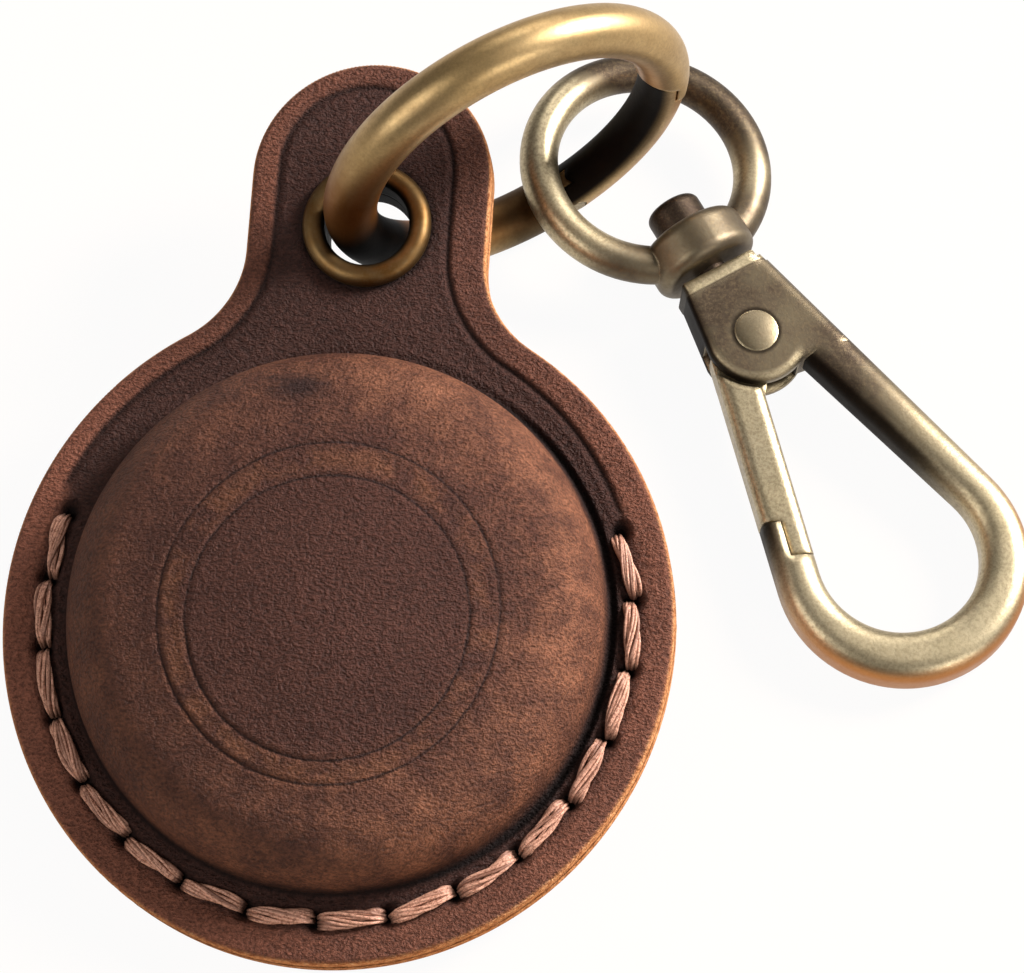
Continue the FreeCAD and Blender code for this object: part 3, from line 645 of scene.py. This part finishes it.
def foot_press(point):
    """How far the leather is pressed in at the foot of the dome, and the shade that is painted there."""
    from_disc = point - disc_centre
    right = smooth(from_disc.normalized().dot(harder_side), 0.25, 0.9)
    off = from_disc.length - dome_radius
    valley = bell(off - foot_valley_off - 0.1 * right, foot_valley_width)
    depth = (foot_valley + (foot_valley_right - foot_valley) * right) * valley
    # Painted shade in the valley at the dome's foot, wider and darker on the right
    return depth, (0.9 + 0.3 * right) * bell(off - 0.12 - 0.36 * right, 0.17 + 0.2 * right)


def neck_side(point):
    """1 where the crease runs, on the neck and shoulders, and 0 along the seam."""
    from_disc = point - disc_centre
    off_neck = abs(math.degrees(math.atan2(from_disc.x, from_disc.y)))
    return 1 - smooth(off_neck, 90 - seam_right - 5, 90 - seam_right - 0.5)


class Skin:
    """One panel's surface as points with what the leather's finish needs to know."""

    def __init__(self):
        self.points = []
        self.deep = []
        # How much painted shade each point has
        self.raw = []
        self.rim = []

    def add(self, x, y, z, deep=0.0, raw=0.0, rim=0.0):
        self.points.append((x, y, z))
        self.deep.append(min(1.0, max(0.0, deep)))
        self.raw.append(raw)
        self.rim.append(rim)
        return len(self.points) - 1


def dome_profile(top, shoulder, crown):
    """Rows of the dome from its middle to its foot, as radius and height."""
    crown_z = top - crown
    shoulder_x = dome_radius - shoulder
    shoulder_z = crown_z + math.sqrt((crown - shoulder) ** 2 - shoulder_x ** 2)
    meet = math.asin(shoulder_x / (crown - shoulder))
    rows = []
    radius = dome_row
    while radius < crown * math.sin(meet) - 0.1:
        rows.append((radius, crown_z + math.sqrt(crown ** 2 - radius ** 2)))
        radius += fine_dome_row if fine_dome[0] < radius < fine_dome[1] else dome_row
    for i in range(shoulder_rows + 1):
        turn = meet + (math.pi / 2 - meet) * i / shoulder_rows
        height = shoulder_z + shoulder * math.cos(turn)
        if height > leather + 0.1:
            rows.append((shoulder_x + shoulder * math.sin(turn), height))
    start_radius, start_height = rows[-1]
    end = dome_radius + foot_reach
    for i in range(1, foot_rows + 1):
        share = i / foot_rows
        radius = start_radius + (end - start_radius) * share
        rows.append((radius, start_height + (leather - start_height) * smooth(share, -0.3, 0.4)))
    return rows


def pocket_profile(top, shoulder):
    """Rows of the pocket's inner face, from its middle to its foot, as radius and height."""
    flat = pocket_radius - shoulder
    rows = [(0.4, top), (pocket_radius * 0.5, top - pocket_half_fall), (flat, top - pocket_fall)]
    for i in range(1, 6):
        turn = math.pi / 2 * i / 5
        rows.append((flat + shoulder * math.sin(turn),
                     max(0.0, top - pocket_fall - shoulder * (1 - math.cos(turn)))))
    rows.append((pocket_radius + 0.1, 0.0))
    return rows


def rim_point(skin, p, inset):
    """A point of the outer face between the edge and the dome, with the crease, the seam and the raw edge."""
    fall = edge_rounding - math.sqrt(
        max(0.0, edge_rounding ** 2 - max(0.0, edge_rounding - inset) ** 2))
    on_neck = neck_side(p)
    off_crease = inset_of(p.x - crease_shift[0], p.y - crease_shift[1]) - crease_inset
    line = bell(off_crease, crease_width) * on_neck
    sink = smooth(off_crease, -0.15, 0.3) * on_neck * smooth(inset, 0.4, 0.9)
    ridge = bell(off_crease - ridge_off, ridge_width) * on_neck
    press, hole = seam_press(p)
    valley, shade = foot_press(p)
    wave = flat_wave * noise.noise(Vector((p.x, p.y, 3.0)) * 0.22) * smooth(inset, 0, 1)
    z = leather - fall - line * crease_depth - sink * plate_sink + ridge * ridge_height
    z += wave - press - valley
    # Painted shade along the crease and in the stitch holes
    shade += 0.8 * bell(off_crease, 0.15) * on_neck + 1.5 * hole
    rim = 1 - on_neck * smooth(off_crease, -0.3, 0.1) - (1 - on_neck) * smooth(inset, 1.5, 2.6)
    return skin.add(p.x, p.y, z, shade, 1 - smooth(inset, 0.02, 0.2), rim)


def rim_face(skin):
    """Outer face from the edge inwards, clear of the dome and the eyelet."""
    made = []
    for inset in rim_insets:
        for p in keyhole(inset, skin_step if inset < coarse_inset else coarse_share * skin_step):
            by_dome = (p - disc_centre).length < dome_radius + foot_reach + 0.12
            by_eyelet_row = p.length < eyelet_rows[-1] + 0.15
            if not inset or not (by_dome or by_eyelet_row):
                made.append(rim_point(skin, p, inset))
    return made


def dome_face(skin, profile, pressed):
    """Outer face of the dome, with the rings that are pressed into it."""
    made = []
    for radius, z in profile:
        for p in on_arc(disc_centre, radius, 0, 360, max(skin_step, 0.018 * radius)):
            height = z + dome_wave * noise.noise(Vector((p.x, p.y, 7.0)) * 0.16)
            for x, y, ring in pressed:
                off = (p - disc_centre - Vector((x, y))).length - ring
                lip = pressed_lip_height * bell(abs(off) - pressed_lip, pressed_lip_width)
                height += lip - pressed_depth * bell(off, pressed_width)
            valley, shade = foot_press(p)
            made.append(skin.add(p.x, p.y, height - valley, shade))
    return made


def eyelet_face(skin):
    """Outer face under the eyelet's flange, from its hole outwards."""
    made = []
    for radius in eyelet_rows:
        sunk = flange_press * bell(radius - flange_middle, flange_spread)
        # Painted shade round the edge of the eyelet's flange
        shade = 0.8 * bell(radius - flange_edge, 0.3)
        for p in on_arc((0, 0), radius, 0, 360, skin_step):
            made.append(skin.add(p.x, p.y, leather - plate_sink - sunk, shade))
    return made


def frayed_edge(skin, outline):
    """Rows of the raw edge between the outer and the inner face."""
    rows = []
    for level, pull in edge_rows:
        # Painted shade, darker low on the raw edge
        shade = 0.5 * (1 - smooth(level, 0, 0.3))
        row = []
        for p in outline:
            fray = edge_fray * noise.noise(Vector((p.x, p.y, level * 3)) * 1.7)
            inwards = (disc_centre - p).normalized() * (pull + fray)
            height = level * (leather - edge_rounding)
            row.append(skin.add(p.x + inwards.x, p.y + inwards.y, height, shade, 1.0))
        rows.append(row)
    return rows


def triangles(skin, indices, outline_count):
    """Faces between the points of one surface, inside the outline and outside the eyelet's hole."""
    flat = [Vector(skin.points[i][:2]) for i in indices]
    ring = [(i, (i + 1) % outline_count) for i in range(outline_count)]
    done = geometry.delaunay_2d_cdt(flat, ring, [], 1, 1e-7)
    points, faces, origins = done[0], done[2], done[3]
    kept = []
    for face in faces:
        if max(points[i].length for i in face) > eyelet_hole + 0.01:
            kept.append([indices[origins[i][0]] for i in face])
    return kept


def wall(upper, lower):
    """Faces between two closed rows of points."""
    count = len(upper)
    return [[upper[i], lower[i], lower[(i + 1) % count], upper[(i + 1) % count]] for i in range(count)]


def panel(name, profile, pressed, pocket, mirror):
    """A leather panel: grained outer face, raw edge, and plain inner face with the pocket for the tag."""
    skin = Skin()
    outline = keyhole(0, skin_step)
    count = len(outline)
    outer = rim_face(skin) + dome_face(skin, profile, pressed)
    flange = eyelet_face(skin)
    outer += flange
    faces = triangles(skin, outer, count)

    # Painted shade along the inner face's edge
    inner = [skin.add(p.x, p.y, 0.0, 0.75, 1.0) for p in outline]
    barrel = [skin.add(p.x, p.y, 0.0) for p in on_arc((0, 0), eyelet_hole, 0, 360, skin_step)]
    inner += barrel
    for radius, height in pocket:
        inner += [skin.add(p.x, p.y, height) for p in on_arc(disc_centre, radius, 0, 360, 3 * skin_step)]
    faces += [face[::-1] for face in triangles(skin, inner, count)]

    rows = [outer[:count], *frayed_edge(skin, outline), inner[:count]]
    for upper, lower in zip(rows, rows[1:]):
        faces += wall(upper, lower)
    faces += wall(barrel, flange[:len(barrel)])

    side = -1 if mirror else 1
    mesh = bpy.data.meshes.new(name)
    mesh.from_pydata([(x, y, side * z) for x, y, z in skin.points], [],
                     [face[::-1] for face in faces] if mirror else faces)
    mesh.attributes.new("panel", "FLOAT_VECTOR", "POINT").data.foreach_set(
        "vector", [c for point in skin.points for c in point])
    for told, values in (("deep", skin.deep), ("raw", skin.raw), ("rim", skin.rim)):
        mesh.attributes.new(told, "FLOAT", "POINT").data.foreach_set("value", values)
    stretched(mesh)
    return bpy.data.objects.new(name, mesh)


class Tree(Builder):
    """A Geometry Nodes tree under construction, with named inputs."""

    def __init__(self, name):
        super().__init__(bpy.data.node_groups.new(name, "GeometryNodeTree"))
        for way in ("INPUT", "OUTPUT"):
            self.tree.interface.new_socket("Geometry", in_out=way, socket_type="NodeSocketGeometry")
        self.given = {}
        self.entry = self.node("NodeGroupInput").socket.node

    def size(self, name, value, kind="NodeSocketFloat"):
        """A named input, and the value that the modifier will give it."""
        socket = self.tree.interface.new_socket(name, in_out="INPUT", socket_type=kind)
        self.given[socket.identifier] = value
        return Value(self, self.entry.outputs[name])

    def finish(self, shape, material):
        """Realised and given its material, then set on a new object as a plain mesh."""
        real = self.node("GeometryNodeRealizeInstances", {}, {"Geometry": shape})
        dressed = self.node("GeometryNodeSetMaterial", {}, {"Geometry": real, "Material": material})
        self.node("NodeGroupOutput", {}, {"Geometry": dressed})
        piece = bpy.data.objects.new(self.tree.name, bpy.data.meshes.new(self.tree.name))
        scene.collection.objects.link(piece)
        modifier = piece.modifiers.new("build", "NODES")
        modifier.node_group = self.tree
        for identifier, value in self.given.items():
            modifier[identifier] = value
        ready = piece.evaluated_get(bpy.context.evaluated_depsgraph_get())
        mesh = bpy.data.meshes.new_from_object(ready)
        piece.modifiers.clear()
        piece.data = mesh
        return piece


def seam_stitches(material):
    """Stitches on both faces, each a few waxed strands that twist and dive into the holes at its ends."""
    t = Tree("seam_stitches")
    count = t.size("Stitches", stitches, "NodeSocketInt")
    plies = t.size("Strands", strands, "NodeSocketInt")
    radius = t.size("Seam radius", seam_radius)
    length = t.size("Stitch length", math.radians(hole_step) * seam_radius - stitch_gap * 0.5)
    width = t.size("Thread width", thread_width)
    height = t.size("Thread height", thread_height)
    ply = t.size("Strand radius", strand_radius)
    twist = t.size("Twist", strand_twist)
    slant = t.size("Slant", math.radians(stitch_slant))
    step = t.size("Hole step", math.radians(hole_step))
    start = t.size("First hole", math.radians(seam_left))
    seed = t.size("Seed", thread_seed, "NodeSocketInt")
    number_kept = {"data_type": "FLOAT", "domain": "POINT"}
    vector_kept = {"data_type": "FLOAT_VECTOR", "domain": "POINT"}

    path = t.node("GeometryNodeCurvePrimitiveLine", {}, {"Start": (0, 0, 0), "End": (1, 0, 0)})
    path = t.node("GeometryNodeResampleCurve", {}, {"Curve": path, "Count": strand_points})
    along = t.node("GeometryNodeSplineParameter")
    path = t.node("GeometryNodeStoreNamedAttribute", number_kept,
                  {"Geometry": path, "Name": "along", "Value": along})
    copy = t.node("GeometryNodeDuplicateElements", {"domain": "SPLINE"},
                  {"Geometry": path, "Amount": count * plies})
    number = copy.other("Duplicate Index")
    stitch = t.maths("FLOOR", (number + 0.5) / plies)
    strand = number - stitch * plies
    share = t.node("GeometryNodeInputNamedAttribute", {"data_type": "FLOAT"}, {"Name": "along"})

    def spread(low, high, salt, each=stitch):
        """A random number for each stitch or each strand."""
        inputs = {2: low, 3: high, "ID": each, "Seed": seed + salt}
        return t.node("FunctionNodeRandomValue", {"data_type": "FLOAT"}, inputs, out=1)

    # Strand along a straight stitch
    middle = share * 2.0 - 1.0
    bulge = 1.0 - abs(middle) ** 3.0
    phase = strand / plies * math.tau + spread(0.0, math.tau, 1)
    phase = phase + share * twist * math.tau + spread(-0.4, 0.4, 4, number)
    reach = (width / 2.0 - ply) * (bulge * (1 - strand_end_share) + strand_end_share)
    reach = reach * spread(0.35, 1.1, 5, number)
    x = middle * (length * spread(0.95, 1.06, 2, number) / 2.0)
    y = t.maths("COSINE", phase) * reach
    rise = t.maths("SINE", phase) * (reach * strand_flat_share)
    lift = height / 2.0 - stitch_bed
    z = rise + lift - abs(middle) ** 8.0 * stitch_dive

    # The stitch slanted and laid along the seam
    lean = slant + spread(-0.06, 0.06, 3)
    cosine, sine = t.maths("COSINE", lean), t.maths("SINE", lean)
    tangent = x * cosine - y * sine
    outward = x * sine + y * cosine
    turn = start + (stitch + 0.5) * step
    from_disc = radius - (outward + x * x * (1 / (2 * seam_radius)))
    cosine, sine = t.maths("COSINE", turn), t.maths("SINE", turn)
    place_x = from_disc * cosine - tangent * sine
    place_y = from_disc * sine + tangent * cosine
    place = t.node("ShaderNodeCombineXYZ", {}, {0: place_x, 1: place_y - eyelet_offset, 2: z + leather})
    bent = t.node("GeometryNodeSetPosition", {}, {"Geometry": copy, "Position": place})
    bent = t.node("GeometryNodeStoreNamedAttribute", number_kept,
                  {"Geometry": bent, "Name": "ply", "Value": spread(0.0, 1.0, 6, number)})

    # Round strands, on both faces
    ring = t.node("GeometryNodeCurvePrimitiveCircle", {}, {"Resolution": strand_sides, "Radius": ply})
    tubes = t.node("GeometryNodeCurveToMesh", {}, {"Curve": bent, "Profile Curve": ring, "Fill Caps": True})
    behind = t.node("GeometryNodeTransform", {}, {"Geometry": tubes, "Scale": (1, 1, -1)})
    behind = t.node("GeometryNodeFlipFaces", {}, {"Mesh": behind})
    both = t.node("GeometryNodeJoinGeometry", {}, {"Geometry": tubes})
    t.tree.links.new(behind.socket, both.socket.node.inputs["Geometry"])
    there = t.node("GeometryNodeInputPosition")
    kept = t.node("GeometryNodeStoreNamedAttribute", vector_kept,
                  {"Geometry": both, "Name": "panel", "Value": there})
    made = t.finish(kept, material)
    stretched(made.data)
    return made


# Leather and thread
hide = waxed_leather()
front = panel("front_panel", dome_profile(dome_top, dome_shoulder, dome_crown), pressed_rings,
              pocket_profile(pocket_top, pocket_shoulder), mirror=False)
back = panel("back_panel", dome_profile(back_top, back_shoulder, back_crown), (),
             pocket_profile(back_pocket_top, back_pocket_shoulder), mirror=True)
for piece, node in ((front, "front_leather"), (back, "back_leather")):
    scene.collection.objects.link(piece)
    piece.data.materials.append(hide)
    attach(piece, "holder")
    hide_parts(node)
thread = seam_stitches(waxed_thread())
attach(thread, "holder")
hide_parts("seam_thread")


# Metal and the tag inside
eyelet_at = eyelet / MM
ring_centre = Vector(joints["eye_travel"]["pos_m"]) / MM
ring_axis = Vector(joints["eye_travel"]["axis"]).normalized()
hinge_at = Vector(joints["ring_gate_hinge"]["pos_m"]) / MM
post_axis = Vector(joints["hook_swivel"]["axis"]).normalized()
post_at = middle_of("swivel_post") / MM
rivet_at = Vector(joints["lever_hinge"]["pos_m"]) / MM
hook_up = Vector(joints["lever_hinge"]["axis"]).normalized()
hook_side = post_axis.cross(hook_up)
loop_drop = 32             # swivel's point to the middle of the hook's loop
loop_at = Vector(joints["hook_swivel"]["pos_m"]) / MM - post_axis * loop_drop
eye_at = middle_of("swivel_eye") / MM
eye_shade = hook_side * 0.8 + post_axis * 0.6
rivet_head = 1.45
lobe_edge = 3.25           # rivet to the rounded edge of the head's lobe
ridge_start = 4.3          # rivet to the ridge at the top of the head's plate


def off_ring(f, at):
    """How far a surface of the ring faces away from the ring's middle, -1 to 1."""
    out = f.vector("NORMALIZE", f.beside(f.off(at, ring_centre), ring_axis))
    return f.dot(out, f.normal())


def inner_side(f, at):
    """Painted shade on the side of the gate that faces the ring's middle."""
    return 1 - f.step(off_ring(f, at), -0.55, -0.05)


def in_eyelet(f, at):
    """Painted shade on the ring where it lies in the eyelets, and dark grime by the gate's hinge."""
    by_eyelets = 1 - f.step(f.length(f.off(at, eyelet_at)), 2.6, 6.0)
    by_hinge = 1 - f.step(f.length(f.off(at, hinge_at)), 4.5, 8.0)
    return f.maths("MAXIMUM", by_eyelets, by_hinge * 0.8)


def by_eyelet(f, at):
    """Painted warm reflection of the leather on the ring's way into the eyelets, and on its inner side."""
    near = 1 - f.step(f.length(f.off(at, eyelet_at)), 5.0, 12.0)
    inner = 1 - f.step(off_ring(f, at), -0.75, -0.1)
    return near * 0.35 + inner * 0.4


def into_eyelet(f, at):
    """Painted shade on the ring on its way into the eyelets."""
    return (1 - f.step(f.length(f.off(at, eyelet_at)), 5.0, 14.0)) * 0.75


def gate_outside(f, at):
    """Painted warm light on the lit outside of the gate."""
    return f.step(off_ring(f, at), -0.2, 0.5) * 0.4


def in_bore(f, at):
    """Painted shade inside an eyelet's barrel."""
    return 1 - f.step(f.length(f.beside(f.off(at, eyelet_at), face_out)), 2.85, 3.2)


def boss_side(f, at):
    """Film left on the boss, at the foot of the eye, and painted shade on the far side of the eye."""
    boss = 1 - f.step(f.dot(f.off(at, post_at), post_axis), 1.0, 3.6)
    return boss * 0.75 + f.step(f.dot(f.off(at, eye_at), eye_shade), 2.0, 5.5)


def off_rivet(f, at):
    """Distance of a point from the rivet's axis."""
    return f.length(f.beside(f.off(at, rivet_at), hook_up))


def head_side(f, at):
    """Film left on the head's plate, but rubbed off the ridge at its top and off its round lower edge."""
    off = f.off(at, rivet_at)
    along = f.dot(off, post_axis)
    ridge = f.step(along, ridge_start, ridge_start + 0.1)
    lower = (1 - f.step(along, -0.5, 1.0)) * (1 - f.step(f.dot(off, hook_side), 1.0, 2.4))
    lobe = f.band(off_rivet(f, at), lobe_edge, 0.45) * lower
    return (1 - f.step(f.length(off), 6.5, 20.0)) * 0.9 - ridge * 1.1 - lobe * 0.7


def spine_inside(f, at):
    """Painted shade round the rivet's head, and on the side of the spine that faces into the loop."""
    inwards = f.step(f.dot(f.normal(), -hook_side), 0.15, 0.7)
    spine = inwards * f.step(f.dot(f.off(at, loop_at), post_axis), -1.0, 6.0) * 0.92
    return f.maths("MAXIMUM", spine, f.band(off_rivet(f, at), rivet_head + 0.1, 0.3) * 0.8)


def bow_outside(f, at):
    """Painted warm reflection round the outside of the bow."""
    off = f.off(at, loop_at)
    out = f.vector("NORMALIZE", f.beside(off, hook_up))
    low = 1 - f.step(f.dot(off, post_axis), -6.0, 6.0)
    return f.step(f.dot(out, f.normal()), 0.45, 0.95) * low * 0.85


brass = aged_brass("aged_brass", 0.4)
wire = spring_wire()
finishes = {
    "front_eyelet": aged_brass("eyelet_brass", 0.9, golden, shade_and_grime_at=in_bore, speckle=0.25),
    "ring_frame": aged_brass("ring_brass", 0.3, golden, into_eyelet, in_eyelet, by_eyelet, speckle=0.22),
    "ring_gate": aged_brass("gate_brass", 0.25, golden, None, inner_side, gate_outside, speckle=0.22),
    "swivel_eye": aged_brass("eye_brass", 0.05, film_and_shade_at=boss_side, speckle=0.45),
    "swivel_post": aged_brass("post_brass", 1.0, smoky, speckle=0.2),
    "hook_body": aged_brass("hook_brass", 0.08, silvery, head_side, spine_inside, bow_outside,
                            rounding=0.8, speckle=0.4),
    "hook_lever": aged_brass("lever_brass", 0.12, rounding=0.5),
    "lever_rivet": aged_brass("rivet_brass", 0.7, speckle=0.3, facing=hook_up),
    "ring_spring": wire,
    "tag_shell": plain_plastic(),
    "tag_cover": brushed_steel(),
    "tag_board": circuit_board(),
}
finishes["back_eyelet"] = finishes["front_eyelet"]
finishes["tag_carrier"] = finishes["tag_shell"]
finishes["tag_battery"] = finishes["tag_cover"]
for name, node in nodes.items():
    for slot in node.material_slots:
        slot.material = finishes.get(name, brass)


def lever_coil(material):
    """The lever's spring, a coil that the open lever presses into the head, and its seat there."""
    reach = [point.co.dot(post_axis) for point in nodes["lever_spring"].data.vertices]
    span = max(reach) - min(reach)
    length = span / MM - 2 * coil_wire
    t = Tree("lever_coil")
    turns = t.size("Turns", coil_turns)
    radius = t.size("Coil radius", coil_radius)
    thickness = t.size("Wire radius", coil_wire)
    height = t.size("Length", length)
    path = t.node("GeometryNodeCurveSpiral", {}, {
        "Resolution": coil_points, "Rotations": turns, "Start Radius": radius, "End Radius": radius,
        "Height": height})
    ring = t.node("GeometryNodeCurvePrimitiveCircle", {}, {"Resolution": coil_sides, "Radius": thickness})
    wound = t.node("GeometryNodeCurveToMesh", {}, {"Curve": path, "Profile Curve": ring, "Fill Caps": True})
    made = t.finish(wound, material)
    middle = middle_of("lever_spring")
    upright = Matrix((hook_up.cross(post_axis), hook_up, post_axis)).transposed().to_4x4()
    upright = upright @ Matrix.Scale(MM, 4)
    made.data.transform(Matrix.Translation(middle) @ upright @ Matrix.Translation((0, 0, -length / 2)))
    made.data.shade_smooth()
    return made, middle + post_axis * span / 2


coil, coil_seat = lever_coil(wire)
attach(coil, "hook")
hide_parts("lever_spring")
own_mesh(coil)


# Floor, world, lamps and camera
def white_floor():
    """Pale floor that keeps the shadow and shows white to the camera and in the metal."""
    f = Finish("white_floor")
    camera_ray = f.node("ShaderNodeLightPath", out="Is Camera Ray")
    rays = camera_ray + camera_ray.other("Is Glossy Ray") + camera_ray.other("Is Transmission Ray")
    seen = f.maths("MINIMUM", rays, 1.0)
    matte = f.node("ShaderNodeBsdfDiffuse", {}, {"Color": linear(*floor_tone)})
    glow = f.node("ShaderNodeEmission", {}, {"Color": (1, 1, 1, 1), "Strength": 1.0})
    return f.surface(f.node("ShaderNodeMixShader", {}, {0: seen * floor_white, 1: matte, 2: glow}))


def soft_lamp(name, at, size, watts):
    """Round lamp that points at the object."""
    lamp = bpy.data.objects.new(name, bpy.data.lights.new(name, "AREA"))
    lamp.data.shape = "DISK"
    lamp.data.size = size
    lamp.data.energy = watts
    lamp.location = at
    lamp.rotation_euler = (lamp.location - lamps_aim).to_track_quat("Z", "Y").to_euler()
    scene.collection.objects.link(lamp)


corners = [(x * floor_reach, y * floor_reach, 0) for x, y in ((-1, -1), (1, -1), (1, 1), (-1, 1))]
floor_mesh = bpy.data.meshes.new("floor")
floor_mesh.from_pydata(corners, [], [(0, 1, 2, 3)])
floor_mesh.materials.append(white_floor())
floor = bpy.data.objects.new("floor", floor_mesh)
scene.collection.objects.link(floor)

world = bpy.data.worlds.new("studio")
world.use_nodes = True
scene.world = world
backdrop = world.node_tree.nodes["Background"]
backdrop.inputs["Color"].default_value = (1, 1, 1, 1)
backdrop.inputs["Strength"].default_value = sky_strength
soft_lamp("key", at=(0.26, 0.125, 0.2), size=0.13, watts=3.2)
soft_lamp("top", at=(0.02, 0.26, 0.2), size=0.16, watts=0.25)
soft_lamp("fill", at=(-0.22, -0.12, 0.22), size=0.2, watts=0.42)
soft_lamp("side", at=(0.2, -0.22, 0.16), size=0.1, watts=0.3)

away = Vector((0, -math.cos(math.radians(camera_elevation)), math.sin(math.radians(camera_elevation))))
camera = bpy.data.objects.new("camera", bpy.data.cameras.new("camera"))
camera.data.sensor_fit = "HORIZONTAL"
camera.data.sensor_width = sensor
camera.data.lens = lens_share * sensor
camera.data.clip_start = 0.01
camera.location = Vector((eyelet.x, eyelet.y, 0)) + (look_at + away * camera_distance) * MM
camera.rotation_euler = away.to_track_quat("Z", "Y").to_euler()
scene.collection.objects.link(camera)
scene.camera = camera
scene.view_settings.view_transform = "Standard"
